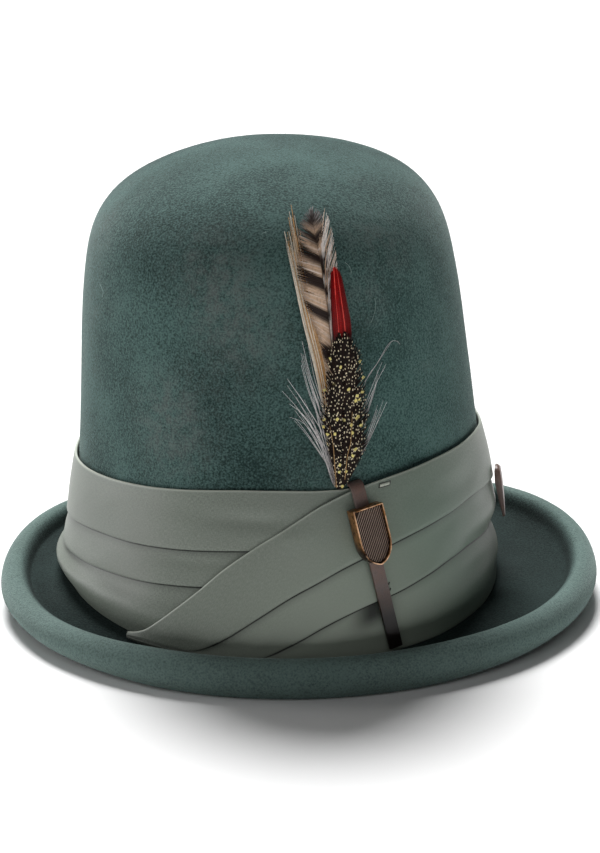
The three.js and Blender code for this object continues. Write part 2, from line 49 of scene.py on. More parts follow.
Piece = bpy.types.Object
Material = bpy.types.Material
Socket = bpy.types.NodeSocket
Pair = tuple[float, float]
Edge = tuple[Pair, ...]
Colour = tuple[float, float, float]
Place = tuple[float, float, float]
Triple = tuple[float, float, float]
Quad = tuple[float, float, float, float]
Shading = Callable[[float, float], float]
Seat = tuple[Vector, Vector]


def srgb(red: int, green: int, blue: int) -> Colour:
    """Turns a colour from 0 to 255, as seen on a screen, into a linear one.

    Args:
        red: Red, from 0 to 255.
        green: Green, from 0 to 255.
        blue: Blue, from 0 to 255.

    Returns:
        The linear colour.
    """

    def straighten(value: int) -> float:
        """Turns one channel."""
        part = value / 255
        return part / 12.92 if part <= 0.04045 else ((part + 0.055) / 1.055) ** 2.4

    return straighten(red), straighten(green), straighten(blue)


def blend(start: float, end: float, part: float) -> float:
    """Goes a part of the way from start to end."""
    return start + (end - start) * part


def ease(part: float) -> float:
    """Eases a part from 0 to 1 in and out, and holds it there."""
    held = min(max(part, 0.0), 1.0)
    return held * held * (3 - 2 * held)


def read_row(rows: Sequence[Sequence[float]], at: float, column: int) -> float:
    """Reads a table smoothly between its rows.

    Args:
        rows: Rows whose first column rises.
        at: Where to read, in the first column's units.
        column: The column to read.

    Returns:
        The value there, through a smooth curve that passes every row.
    """
    last = len(rows) - 1
    i = 0
    while i < last - 1 and at > rows[i + 1][0]:
        i += 1
    span = rows[i + 1][0] - rows[i][0]
    part = min(max((at - rows[i][0]) / span, 0.0), 1.0)

    def slope(k: int) -> float:
        """Slope of the curve at a row, over this span."""
        before, after = rows[max(k - 1, 0)], rows[min(k + 1, last)]
        return (after[column] - before[column]) / (after[0] - before[0]) * span

    p2, p3 = part * part, part**3
    return (
        (2 * p3 - 3 * p2 + 1) * rows[i][column]
        + (p3 - 2 * p2 + part) * slope(i)
        + (3 * p2 - 2 * p3) * rows[i + 1][column]
        + (p3 - p2) * slope(i + 1)
    )


def along_path(points: Sequence[Pair], part: float) -> Pair:
    """Finds a place along a flat path.

    Args:
        points: The path's points.
        part: How far along it to go, from 0 to 1, by the points' numbers.

    Returns:
        The place there, on a smooth curve through the points.
    """
    rows = [(i, x, z) for i, (x, z) in enumerate(points)]
    at = part * (len(points) - 1)
    return read_row(rows, at, 1), read_row(rows, at, 2)


class Slot(Enum):
    """The record's material slots."""

    FELT = "felt"
    SATIN = "satin"
    LEATHER = "leather"
    COPPER = "antique_copper"
    TAN = "tan_feather"
    BARRED = "barred_feather"
    GREY = "grey_feather"
    RED = "red_feather"
    SPECKLED = "speckled_feather"


class Draft:
    """Draws the nodes of one material."""

    def __init__(self, name: str) -> None:
        """Starts a material with one main shader.

        Args:
            name: The material's name.
        """
        self.material = bpy.data.materials.new(name)
        self.material.use_nodes = True
        self.nodes = self.material.node_tree.nodes
        self.links = self.material.node_tree.links
        self.surface = self.nodes["Principled BSDF"]
        self.place = self.node("TexCoord").outputs["Object"]

    def node(self, kind: str, **inputs: Socket | float | Sequence[float]) -> bpy.types.Node:
        """Adds a node and fills its inputs.

        Args:
            kind: The node's kind.
            inputs: A constant or a socket for each input, with spaces in its name written as underscores.

        Returns:
            The node.
        """
        node = self.nodes.new(f"ShaderNode{kind}")
        for name, value in inputs.items():
            self.fill(node.inputs[name.replace("_", " ")], value)
        return node

    def fill(self, target: Socket, value: Socket | float | Sequence[float]) -> None:
        """Links a socket to an input, or sets a constant on it.

        Args:
            target: The input.
            value: The socket or the constant.
        """
        if isinstance(value, Socket):
            self.links.new(value, target)
        elif target.type == "RGBA":
            target.default_value = (*value, 1.0)
        else:
            target.default_value = value

    def set(self, **inputs: Socket | float | Colour) -> None:
        """Fills inputs of the main shader, with spaces in their names written as underscores."""
        for name, value in inputs.items():
            self.fill(self.surface.inputs[name.replace("_", " ")], value)

    def attribute(self, name: str) -> Socket:
        """Reads a number kept on the mesh.

        Args:
            name: The name that it is kept under.

        Returns:
            The number.
        """
        node = self.node("Attribute")
        node.attribute_name = name
        return node.outputs["Fac"]

    def uv(self) -> Socket:
        """Reads the piece's own UV map."""
        return self.node("UVMap").outputs["UV"]

    def stretched(self, vector: Socket, scale: Sequence[float], turn: float = 0.0) -> Socket:
        """Stretches a pattern's coordinates, and turns them about Y by an angle in degrees."""
        node = self.node("Mapping", Vector=vector, Scale=scale, Rotation=(0, math.radians(turn), 0))
        return node.outputs["Vector"]

    def clouds(self, vector: Socket, scale: float, detail: float = 2.0, rough: float = 0.5) -> Socket:
        """Makes clouds: how many in a metre, with how many finer layers, and how strong those are."""
        node = self.node("TexNoise", Vector=vector, Scale=scale, Detail=detail, Roughness=rough)
        return node.outputs["Fac"]

    def cells(self, vector: Socket, scale: float, flat: bool = False) -> tuple[Socket, Socket]:
        """Makes scattered cells.

        Args:
            vector: The coordinates.
            scale: Cells in a metre.
            flat: Whether the cells are flat ones across X and Y only.

        Returns:
            The distance from each cell's middle, and the cell's random colour.
        """
        node = self.node("TexVoronoi", Vector=vector, Scale=scale)
        node.voronoi_dimensions = "2D" if flat else "3D"
        return node.outputs["Distance"], node.outputs["Color"]

    def front_view(self) -> Socket:
        """Lays the hat's X and Z out as a flat pattern's X and Y."""
        apart = self.node("SeparateXYZ", Vector=self.place).outputs
        return self.node("CombineXYZ", X=apart["X"], Y=apart["Z"]).outputs["Vector"]

    def band(self, value: Socket, low: float, high: float) -> Socket:
        """Eases a value in between two limits.

        Args:
            value: The value.
            low: Where the result is 0.
            high: Where it is 1.

        Returns:
            The result.
        """
        node = self.node("MapRange", Value=value, From_Min=low, From_Max=high)
        node.interpolation_type = "SMOOTHSTEP"
        return node.outputs["Result"]

    def sum(self, a: Socket, b: Socket | float, kind: str = "MULTIPLY") -> Socket:
        """Works out one value from two.

        Args:
            a: The first value.
            b: The second one, or a constant.
            kind: The kind of sum.

        Returns:
            The result.
        """
        node = self.node("Math")
        node.operation = kind
        self.fill(node.inputs[0], a)
        self.fill(node.inputs[1], b)
        return node.outputs[0]

    def grey(self, colour: Socket) -> Socket:
        """Turns a colour into how light it is."""
        return self.node("RGBToBW", Color=colour).outputs["Val"]

    def near(self, centre: Place, reach: float) -> Socket:
        """Marks what lies near a place on the hat.

        Args:
            centre: The place, in metres.
            reach: How far from it the mark fades out.

        Returns:
            1 at the place, and 0 from the reach on.
        """
        node = self.node("VectorMath", Vector=self.place)
        node.operation = "DISTANCE"
        node.inputs[1].default_value = centre
        return self.band(node.outputs["Value"], reach, 0.0)

    def mix(self, part: Socket | float, a: Socket | Colour, b: Socket | Colour, kind: str = "MIX") -> Socket:
        """Mixes two colours.

        Args:
            part: How much of b there is, from 0 to 1.
            a: The first colour.
            b: The second one.
            kind: The kind of mix.

        Returns:
            The mixed colour.
        """
        node = self.node("Mix")
        node.data_type = "RGBA"
        node.blend_type = kind
        for name, value in (("Factor", part), ("A", a), ("B", b)):
            wanted = "VALUE" if name == "Factor" else "RGBA"
            self.fill(next(s for s in node.inputs if s.name == name and s.type == wanted), value)
        return next(s for s in node.outputs if s.type == "RGBA")

    def stain(
        self, colour: Socket | Colour, mark: Socket, amount: float, other: Colour, kind: str = "MIX"
    ) -> Socket:
        """Mixes another colour in by an amount where a mark says so."""
        return self.mix(self.sum(mark, amount), colour, other, kind)

    def raise_by(
        self, height: Socket, depth: float, strength: float = 1.0, over: Socket | None = None
    ) -> Socket:
        """Raises the surface, or one already raised, by a pattern and its depth in metres."""
        under = {"Normal": over} if over else {}
        return self.node("Bump", Height=height, Strength=strength, Distance=depth, **under).outputs["Normal"]


@dataclass(frozen=True)
class FeltFinish:
    """Dark green felt: mottled, brushed, with a brownish bloom in places, painted shade down in the brim's
    valley and a painted highlight on the roll.

    Attributes:
        deep: Colour down in the nap.
        tip: Colour of the nap's tips.
        bloom: Colour where the nap is rubbed.
        worn_and_lit: Colour of the lighter nap on the roll, a painted highlight where light catches it.
        shadow: Painted shade: the felt's colour down in the brim's valley, where shadow falls.
        fleck: Colour of the finest light flecks.
        green: What the nap gains where it is greener.
        green_side: Where it is greenest.
        green_reach: How far from there the green fades out.
        blooms: Where the bloom lies on the crown, and how far it reaches.
    """

    deep: Colour = srgb(30, 48, 46)
    tip: Colour = srgb(80, 106, 102)
    bloom: Colour = srgb(108, 111, 109)
    worn_and_lit: Colour = srgb(108, 126, 121)
    shadow: Colour = srgb(7, 17, 16)
    fleck: Colour = srgb(130, 150, 146)
    green: Colour = srgb(22, 52, 48)
    green_side: Place = (0.066, -0.06, 0.11)
    green_reach: float = 90 * MM
    blooms: tuple[Quad, ...] = (
        (-0.034, -0.088, 0.166, 0.034), (-0.024, -0.100, 0.140, 0.036), (-0.052, -0.085, 0.100, 0.034),
        (0.046, -0.075, 0.176, 0.032), (0.034, -0.088, 0.150, 0.022),
    )

    def build(self) -> Material:
        """Builds the material.

        Returns:
            The material.
        """
        draft = Draft("felt_nap")
        mottle = draft.clouds(draft.place, 26, 4, 0.6)
        nap = draft.clouds(draft.place, 1250, 3, 0.6)
        lay = draft.clouds(draft.stretched(draft.place, (1, 1, 0.3), 12), 420, 2, 0.5)
        tone = draft.sum(draft.sum(mottle, 0.3), draft.sum(nap, 0.7), "ADD")
        colour = draft.mix(draft.band(tone, 0.36, 0.64), self.deep, self.tip)
        greener = draft.near(self.green_side, self.green_reach)
        colour = draft.stain(colour, greener, 0.6, self.green, "SCREEN")
        rubbed = draft.sum(draft.band(draft.clouds(draft.place, 19, 3, 0.6), 0.52, 0.82), 0.6)
        for x, y, z, reach in self.blooms:
            rubbed = draft.sum(rubbed, draft.near((x, y, z), reach), "ADD")
        broken = draft.sum(rubbed, draft.band(draft.clouds(draft.place, 160, 5, 0.7), 0.3, 0.75))
        colour = draft.stain(colour, broken, 0.55, self.bloom)
        flecks, _ = draft.cells(draft.place, 700)
        colour = draft.stain(colour, draft.band(flecks, 0.16, 0.02), 0.35, self.fleck)
        # Painted highlight: the nap on the roll is lightened where light catches it.
        raised = draft.sum(draft.attribute("rim"), draft.band(nap, -0.15, 0.75))
        colour = draft.stain(colour, raised, 0.75, self.worn_and_lit)
        # Painted shade: the felt is darkened down in the brim's valley, and its sheen is taken down there
        # too.
        valley_shade = draft.attribute("valley_shade")
        draft.set(Base_Color=draft.stain(colour, valley_shade, 0.82, self.shadow))
        draft.set(Sheen_Weight=draft.sum(draft.sum(valley_shade, -0.26), 0.28, "ADD"))
        soft = draft.raise_by(mottle, 0.8 * MM, 0.25)
        brushed = draft.raise_by(lay, 0.25 * MM, 0.4, soft)
        draft.set(Normal=draft.raise_by(nap, 0.35 * MM, 1.0, brushed))
        draft.set(Roughness=0.95, Specular_IOR_Level=0.15)
        draft.set(Sheen_Roughness=0.4, Sheen_Tint=srgb(205, 220, 216))
        return draft.material


@dataclass(frozen=True)
class SatinFinish:
    """Sage satin with a fine weave, a painted highlight along its upper fold and painted shade under its
    folds.

    Attributes:
        base: The cloth's colour.
        deep: Its colour where the threads turn from the light.
        grey: Its colour in greyer clouds.
        dull: Painted shade: its darker colour towards the wearer's right.
        green: Its colour at the front towards the wearer's left: greener, and darker as painted shade.
        painted_low_light: Painted light: its lighter colour low at the front, standing in for the light on
            it.
        places: Where those three lie: the middle, the reach in metres, and how strong they are.
        edge: Painted highlight: its colour along the upper edge's pressed fold, where it catches the light.
        fold_shade: Painted shade: its colour deep under a fold, where the gap there lies in shadow.
        threads: Threads in a metre.
    """

    base: Colour = srgb(134, 141, 131)
    deep: Colour = srgb(104, 112, 103)
    grey: Colour = srgb(128, 130, 124)
    dull: Colour = srgb(98, 104, 96)
    green: Colour = srgb(96, 118, 103)
    painted_low_light: Colour = srgb(170, 180, 166)
    places: tuple[tuple[Place, float, float], ...] = (
        ((-0.09, -0.04, 0.06), 75 * MM, 0.6), ((0.062, -0.085, 0.04), 85 * MM, 0.8),
        ((0.015, -0.1, 0.002), 80 * MM, 0.95),
    )
    edge: Colour = srgb(196, 202, 190)
    fold_shade: Colour = srgb(14, 17, 15)
    threads: float = 3600

    def build(self) -> Material:
        """Builds the material.

        Returns:
            The material.
        """
        draft = Draft("sage_satin")
        cloth = draft.uv()
        warp = draft.clouds(draft.stretched(cloth, (1, 0.25, 1)), self.threads, 2, 0.6)
        weft = draft.clouds(draft.stretched(cloth, (0.2, 1, 1)), self.threads, 2, 0.6)
        weave = draft.sum(draft.sum(warp, weft, "ADD"), 0.5)
        cast = draft.clouds(draft.place, 22, 3, 0.55)
        colour = draft.mix(draft.band(weave, 0.36, 0.66), self.deep, self.base)
        colour = draft.stain(colour, draft.band(cast, 0.45, 0.75), 0.4, self.grey)
        # Painted shade to the wearer's right, a greener and shaded front left, and painted light low at the
        # front.
        for (middle, reach, amount), tone in zip(self.places, (self.dull, self.green, self.painted_low_light)):
            colour = draft.stain(colour, draft.near(middle, reach), amount, tone)
        # Painted highlight along the upper edge's fold.
        colour = draft.stain(colour, draft.attribute("fold"), 0.8, self.edge)
        # Painted shade: deep under each fold, and where the crossing end overhangs the lowest pleat.
        colour = draft.mix(draft.attribute("fold_shade"), colour, self.fold_shade)
        draft.set(Base_Color=colour)
        draft.set(Normal=draft.raise_by(weave, 0.06 * MM, 0.35))
        draft.set(Roughness=0.46, Specular_IOR_Level=0.35)
        draft.set(Sheen_Weight=0.05, Sheen_Roughness=0.35, Sheen_Tint=srgb(215, 222, 208))
        return draft.material


@dataclass(frozen=True)
class LeatherFinish:
    """Smooth brown leather with fine grain, a redder wear and painted shade towards its lower end.

    Attributes:
        base: The leather's colour.
        warm: Its colour where the dye is thin.
        dark: Its colour in the pores, and its painted shade towards the lower end.
    """

    base: Colour = srgb(108, 92, 87)
    warm: Colour = srgb(122, 92, 80)
    dark: Colour = srgb(20, 13, 9)

    def build(self) -> Material:
        """Builds the material.

        Returns:
            The material.
        """
        draft = Draft("brown_leather")
        patches = draft.clouds(draft.place, 120, 4, 0.6)
        grain, _ = draft.cells(draft.place, 2600)
        pores = draft.clouds(draft.place, 1800, 3, 0.6)
        colour = draft.mix(draft.band(patches, 0.4, 0.7), self.base, self.warm)
        # Painted shade: the leather darkens towards its lower end, down by the brim.
        colour = draft.mix(draft.attribute("shade"), colour, self.dark)
        colour = draft.stain(colour, draft.band(pores, 0.45, 0.75), 0.3, self.dark)
        draft.set(Base_Color=colour)
        creased = draft.raise_by(grain, 0.05 * MM, 0.5)
        draft.set(Normal=draft.raise_by(pores, 0.05 * MM, 0.4, creased))
        draft.set(Roughness=0.42, Specular_IOR_Level=0.5, Coat_Weight=0.12, Coat_Roughness=0.3)
        return draft.material


@dataclass(frozen=True)
class CopperFinish:
    """Antiqued copper: bright on its rubbed edges, which also carry a painted highlight, and dark in its
    hollows.

    Attributes:
        name: The material's name.
        bright: The clean metal.
        dark: The patina.
        rubbed: The metal where it is rubbed, which is also a painted highlight along its edges.
        patina: How much patina there is on open faces, from 0 to 1.
        wear: The band of the stain's values over which the worn edges come through.
    """

    name: str = "antique_copper"
    bright: Colour = srgb(190, 136, 88)
    dark: Colour = srgb(40, 22, 15)
    rubbed: Colour = srgb(226, 184, 148)
    patina: float = 0.45
    wear: Pair = (0.36, 0.6)

    def build(self) -> Material:
        """Builds the material.

        Returns:
            The material.
        """
        draft = Draft(self.name)
        stain = draft.clouds(draft.place, 420, 5, 0.65)
        dull = draft.band(stain, 0.62 - 0.5 * self.patina, 0.95 - 0.5 * self.patina)
        colour = draft.mix(dull, self.bright, self.dark)
        # Painted shade on the wall's lower left, kept on its corners.
        colour = draft.stain(colour, draft.attribute("shade"), 0.9, self.dark)
        patchy = draft.band(draft.clouds(draft.place, 260, 3, 0.6), *self.wear)
        # The rubbed mark is partly wear and partly a painted highlight on the rim's edge and the ribs' tops.
        worn_and_lit = draft.sum(draft.attribute("worn_and_lit"), draft.sum(patchy, 0.9))
        colour = draft.mix(worn_and_lit, colour, self.rubbed)
        draft.set(Base_Color=colour)
        scuffs = draft.clouds(draft.stretched(draft.place, (1, 1, 0.3)), 1500, 3, 0.6)
        draft.set(Roughness=draft.sum(draft.sum(scuffs, 0.3), 0.22, "ADD"))
        draft.set(Normal=draft.raise_by(stain, 0.08 * MM, 0.4))
        draft.set(Metallic=0.92)
        return draft.material


@dataclass(frozen=True)
class BarbFinish:
    """Feather barbs, from a pale to a dark colour by the shade kept on each barb.

    Attributes:
        name: The material's name.
        pale: Colour where the shade is 0.
        dark: Colour where it is 1.
        other: A second pale colour that some barbs take.
        roughness: How matt the barbs are.
    """

    name: str
    pale: Colour
    dark: Colour
    other: Colour
    roughness: float = 0.55

    def build(self) -> Material:
        """Builds the material.

        Returns:
            The material.
        """
        draft = Draft(self.name)
        ground = draft.mix(draft.band(draft.attribute("tint"), 0.35, 0.75), self.pale, self.other)
        streaks = draft.clouds(draft.place, 900, 3, 0.6)
        ground = draft.stain(ground, draft.band(streaks, 0.4, 0.8), 0.35, self.dark)
        draft.set(Base_Color=draft.mix(draft.attribute("shade"), ground, self.dark))
        draft.set(Normal=draft.raise_by(streaks, 0.05 * MM, 0.4))
        draft.set(Roughness=self.roughness, Specular_IOR_Level=0.3)
        return draft.material


@dataclass(frozen=True)
class SpeckledFinish:
    """Nearly black barbs with yellow and cream dots.

    Attributes:
        ground: The barbs' colour.
        brown: The colour that some barbs vary to.
        yellow: The large dots' colour.
        cream: The small dots' colour.
    """

    ground: Colour = srgb(9, 5, 3)
    brown: Colour = srgb(48, 24, 16)
    yellow: Colour = srgb(236, 222, 140)
    cream: Colour = srgb(236, 222, 190)

    def build(self) -> Material:
        """Builds the material.

        Returns:
            The material.
        """
        draft = Draft("speckled_barbs")
        flat = draft.front_view()
        wobble = draft.clouds(flat, 900, 2, 0.5)
        large, large_kind = draft.cells(flat, 330, True)
        small, small_kind = draft.cells(draft.stretched(flat, (1.25, 0.75, 1)), 880, True)
        shown = draft.band(draft.grey(large_kind), 0.62, 0.66)
        big = draft.sum(draft.band(draft.sum(large, draft.sum(wobble, 0.35), "ADD"), 0.42, 0.35), shown)
        few = draft.band(draft.grey(small_kind), 0.3, 0.4)
        fine = draft.sum(draft.band(draft.sum(small, draft.sum(wobble, 0.35), "ADD"), 0.43, 0.33), few)
        colour = draft.stain(self.ground, draft.attribute("tint"), 0.4, self.brown)
        colour = draft.mix(fine, colour, self.cream)
        draft.set(Base_Color=draft.mix(big, colour, self.yellow))
        draft.set(Normal=draft.raise_by(wobble, 0.05 * MM, 0.4))
        draft.set(Roughness=0.6, Specular_IOR_Level=0.15)
        return draft.material


@dataclass(frozen=True)
class FloorFinish:
    """The matt, pale and very lightly clouded floor.

    Attributes:
        base: Its colour.
        second: The colour that it varies to.
        clouds: Clouds in a metre.
    """

    base: Colour = srgb(250, 250, 250)
    second: Colour = srgb(246, 246, 246)
    clouds: float = 2

    def build(self) -> Material:
        """Builds the material.

        Returns:
            The material.
        """
        draft = Draft("pale_floor")
        change = draft.clouds(draft.place, self.clouds, 3, 0.55)
        draft.set(Base_Color=draft.mix(draft.band(change, 0.35, 0.7), self.base, self.second))
        draft.set(Roughness=0.9, Specular_IOR_Level=0.25)
        return draft.material


class Bench:
    """Works on one piece at a time, as by hand."""

    @staticmethod
    def clear() -> None:
        """Deselects everything and leaves edit mode."""
        if bpy.context.object is not None and bpy.context.object.mode != "OBJECT":
            bpy.ops.object.mode_set(mode="OBJECT")
        bpy.ops.object.select_all(action="DESELECT")

    @staticmethod
    def pick(piece: Piece) -> None:
        """Selects one piece alone and makes it the active one.

        Args:
            piece: The piece.
        """
        Bench.clear()
        piece.select_set(True)
        bpy.context.view_layer.objects.active = piece

    @staticmethod
    def edit(piece: Piece) -> None:
        """Opens one piece in edit mode with all of its faces selected.

        Args:
            piece: The piece.
        """
        Bench.pick(piece)
        bpy.ops.object.mode_set(mode="EDIT")
        bpy.ops.mesh.select_mode(type="FACE")
        bpy.ops.mesh.select_all(action="SELECT")

    @staticmethod
    def make(name: str, corners: Sequence[Sequence[float]], faces: Sequence[Sequence[int]]) -> Piece:
        """Makes a new piece from its corners and faces.

        Args:
            name: The piece's name.
            corners: Its corners.
            faces: The numbers of each face's corners.

        Returns:
            The piece.
        """
        mesh = bpy.data.meshes.new(name)
        mesh.from_pydata(corners, [], faces)
        piece = bpy.data.objects.new(name, mesh)
        bpy.context.scene.collection.objects.link(piece)
        return piece

    @staticmethod
    def tree_of(piece: Piece) -> BVHTree:
        """Builds the tree of a piece's faces that rays are cast into."""
        corners = [corner.co.copy() for corner in piece.data.vertices]
        return BVHTree.FromPolygons(corners, [tuple(face.vertices) for face in piece.data.polygons])

    @staticmethod
    def modify(piece: Piece, kind: str, **settings: object) -> None:
        """Adds a modifier and applies it.

        Args:
            piece: The piece.
            kind: The modifier's type.
            settings: Its settings by name.
        """
        Bench.pick(piece)
        modifier = piece.modifiers.new(kind.lower(), kind)
        for name, value in settings.items():
            setattr(modifier, name, value)
        bpy.ops.object.modifier_apply(modifier=modifier.name)

    @staticmethod
    def round_edges(piece: Piece, radius: float, segments: int, angle: float) -> None:
        """Rounds the edges of a piece that are sharper than an angle, in degrees."""
        limit = math.radians(angle)
        Bench.modify(piece, "BEVEL", width=radius, segments=segments, limit_method="ANGLE", angle_limit=limit)

    @staticmethod
    def copy_of(node: Piece, name: str) -> Piece:
        """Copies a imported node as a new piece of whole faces.

        Args:
            node: The node.
            name: The new piece's name.

        Returns:
            The piece, with its corners merged and its triangles joined to quads.
        """
        Bench.clear()
        piece = bpy.data.objects.new(name, node.data.copy())
        bpy.context.scene.collection.objects.link(piece)
        piece.data.materials.clear()
        Bench.edit(piece)
        bpy.ops.mesh.remove_doubles(threshold=0.01 * MM)
        bpy.ops.mesh.customdata_custom_splitnormals_clear()
        bpy.ops.mesh.tris_convert_to_quads(face_threshold=math.radians(60), shape_threshold=math.radians(60))
        bpy.ops.object.mode_set(mode="OBJECT")
        return piece

    @staticmethod
    def smooth(piece: Piece, angle: float = 40) -> None:
        """Shades a piece smooth across edges flatter than an angle, in degrees."""
        Bench.pick(piece)
        bpy.ops.object.shade_smooth_by_angle(angle=math.radians(angle))

    @staticmethod
    def mark(piece: Piece, name: str, values: Sequence[float]) -> None:
        """Keeps a number for each corner of a piece."""
        layer = piece.data.attributes.new(name, "FLOAT", "POINT")
        layer.data.foreach_set("value", np.array(values, np.float32))

    @staticmethod
    def dress(piece: Piece, material: Material, slot: Slot, *nodes: str) -> None:
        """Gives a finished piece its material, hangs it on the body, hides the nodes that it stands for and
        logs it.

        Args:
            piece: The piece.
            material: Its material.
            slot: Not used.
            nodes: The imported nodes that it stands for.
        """
        piece.data.materials.clear()
        piece.data.materials.append(material)
        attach(piece, BODY)
        if nodes:
            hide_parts(*nodes)
        LOG.info("%s: %d faces", piece.name, len(piece.data.polygons))


@dataclass
class CrownSurface:
    """The felt's outside, for all that lies on it.

    Attributes:
        felt: The finished felt.
        axis_x: Where the head's axis lies.
        half_width: The crown's widest reach to a side.
        oval: Its length over its width.
        flare: The height below which the felt curves out to the brim.
        clear: How far outside it a ray starts.
        sight: The direction towards the eye that looks at the front.
        least_slant: The least slant of the felt to that direction that is reckoned with.
    """

    felt: Piece
    axis_x: float = -7 * MM
    half_width: float = 86.6 * MM
    oval: float = 1.18
    flare: float = 25 * MM
    clear: float = 24 * MM
    sight: Vector = field(default_factory=lambda: Vector((0, -math.cos(SEEN_FROM), math.sin(SEEN_FROM))))
    least_slant: float = 0.3

    def __post_init__(self) -> None:
        """Builds the tree that rays are cast into."""
        self.tree = Bench.tree_of(self.felt)

    def steer(self, angle: float) -> Vector:
        """The level direction out of the crown at an angle, in degrees."""
        turn = math.radians(angle)
        return Vector((math.sin(turn), -math.cos(turn) / self.oval, 0)).normalized()

    def around(self, angle: float, height: float, stand: float) -> Vector:
        """Finds a place beside the crown.

        Args:
            angle: Its angle round the hat, in degrees.
            height: Its height, in metres.
            stand: How far it stands off the crown, in metres.

        Returns:
            The place.
        """
        turn = math.radians(angle)
        out = self.steer(angle)
        across = self.axis_x + self.half_width * math.sin(turn)
        rim = Vector((across, -self.half_width * self.oval * math.cos(turn), max(height, self.flare)))
        hit, _, _, _ = self.tree.ray_cast(rim + out * self.clear, -out)
        place = (hit or rim) + out * stand
        place.z = height
        return place

    def seat(self, x: float, z: float, stand: float) -> Seat:
        """Finds a place seen on the crown's front, raised along the line of sight, and the felt's normal."""
        hit, normal, _, _ = self.tree.ray_cast(Vector((x, RAY_START, z)), FORWARDS)
        return hit + self.sight * (stand / max(normal.dot(self.sight), self.least_slant)), normal

    def floor(self, place: Vector) -> float:
        """Finds the height of the brim's upper face straight below a place."""
        hit, _, _, _ = self.tree.ray_cast(Vector((place.x, place.y, self.flare * 0.9)), Vector((0, 0, -1)))
        return hit.z if hit else 0.0


@dataclass
class FeltBody:
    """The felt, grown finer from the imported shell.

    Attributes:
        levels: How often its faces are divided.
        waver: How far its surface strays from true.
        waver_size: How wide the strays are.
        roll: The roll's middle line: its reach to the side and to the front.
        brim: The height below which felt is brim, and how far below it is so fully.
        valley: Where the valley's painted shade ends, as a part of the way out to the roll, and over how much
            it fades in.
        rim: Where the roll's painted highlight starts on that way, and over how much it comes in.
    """

    levels: int = 2
    waver: float = 0.5 * MM
    waver_size: float = 42 * MM
    roll: Pair = (121 * MM, 127.4 * MM)
    brim: Pair = (46 * MM, 8 * MM)
    valley: Pair = (0.985, 0.035)
    rim: Pair = (0.95, 0.04)

    def build(self, node: Piece) -> Piece:
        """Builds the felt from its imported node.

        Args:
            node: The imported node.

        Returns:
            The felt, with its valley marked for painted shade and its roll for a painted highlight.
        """
        piece = Bench.copy_of(node, "felt_hat_body")
        Bench.modify(piece, "SUBSURF", levels=self.levels, render_levels=self.levels)
        clouds = bpy.data.textures.new("felt_waver", "CLOUDS")
        clouds.noise_scale = self.waver_size
        Bench.modify(piece, "DISPLACE", texture=clouds, strength=self.waver, mid_level=0.5)
        bpy.data.textures.remove(clouds)
        for corner in piece.data.vertices:
            corner.co.z = max(corner.co.z, 0)
        Bench.smooth(piece, 60)
        self.mark_brim(piece)
        return piece

    def mark_brim(self, piece: Piece) -> None:
        """Marks where a felt piece takes the valley's painted shade and the roll's painted highlight.

        Args:
            piece: The piece.
        """
        marks = zip(*(self.brim_marks(corner.co) for corner in piece.data.vertices))
        for name, values in zip(("valley_shade", "rim"), marks):
            Bench.mark(piece, name, values)

    def brim_marks(self, place: Vector) -> Pair:
        """Works out both marks of one place.

        Args:
            place: The place.

        Returns:
            How far it lies in the valley's painted shade and on the roll's painted highlight, each from 0 to
            1.
        """
        across = math.hypot(place.x / self.roll[0], place.y / self.roll[1])
        low = ease((self.brim[0] - place.z) / self.brim[1])
        valley_shade = ease((self.valley[0] - across) / self.valley[1])
        return low * valley_shade, low * ease((across - self.rim[0]) / self.rim[1])


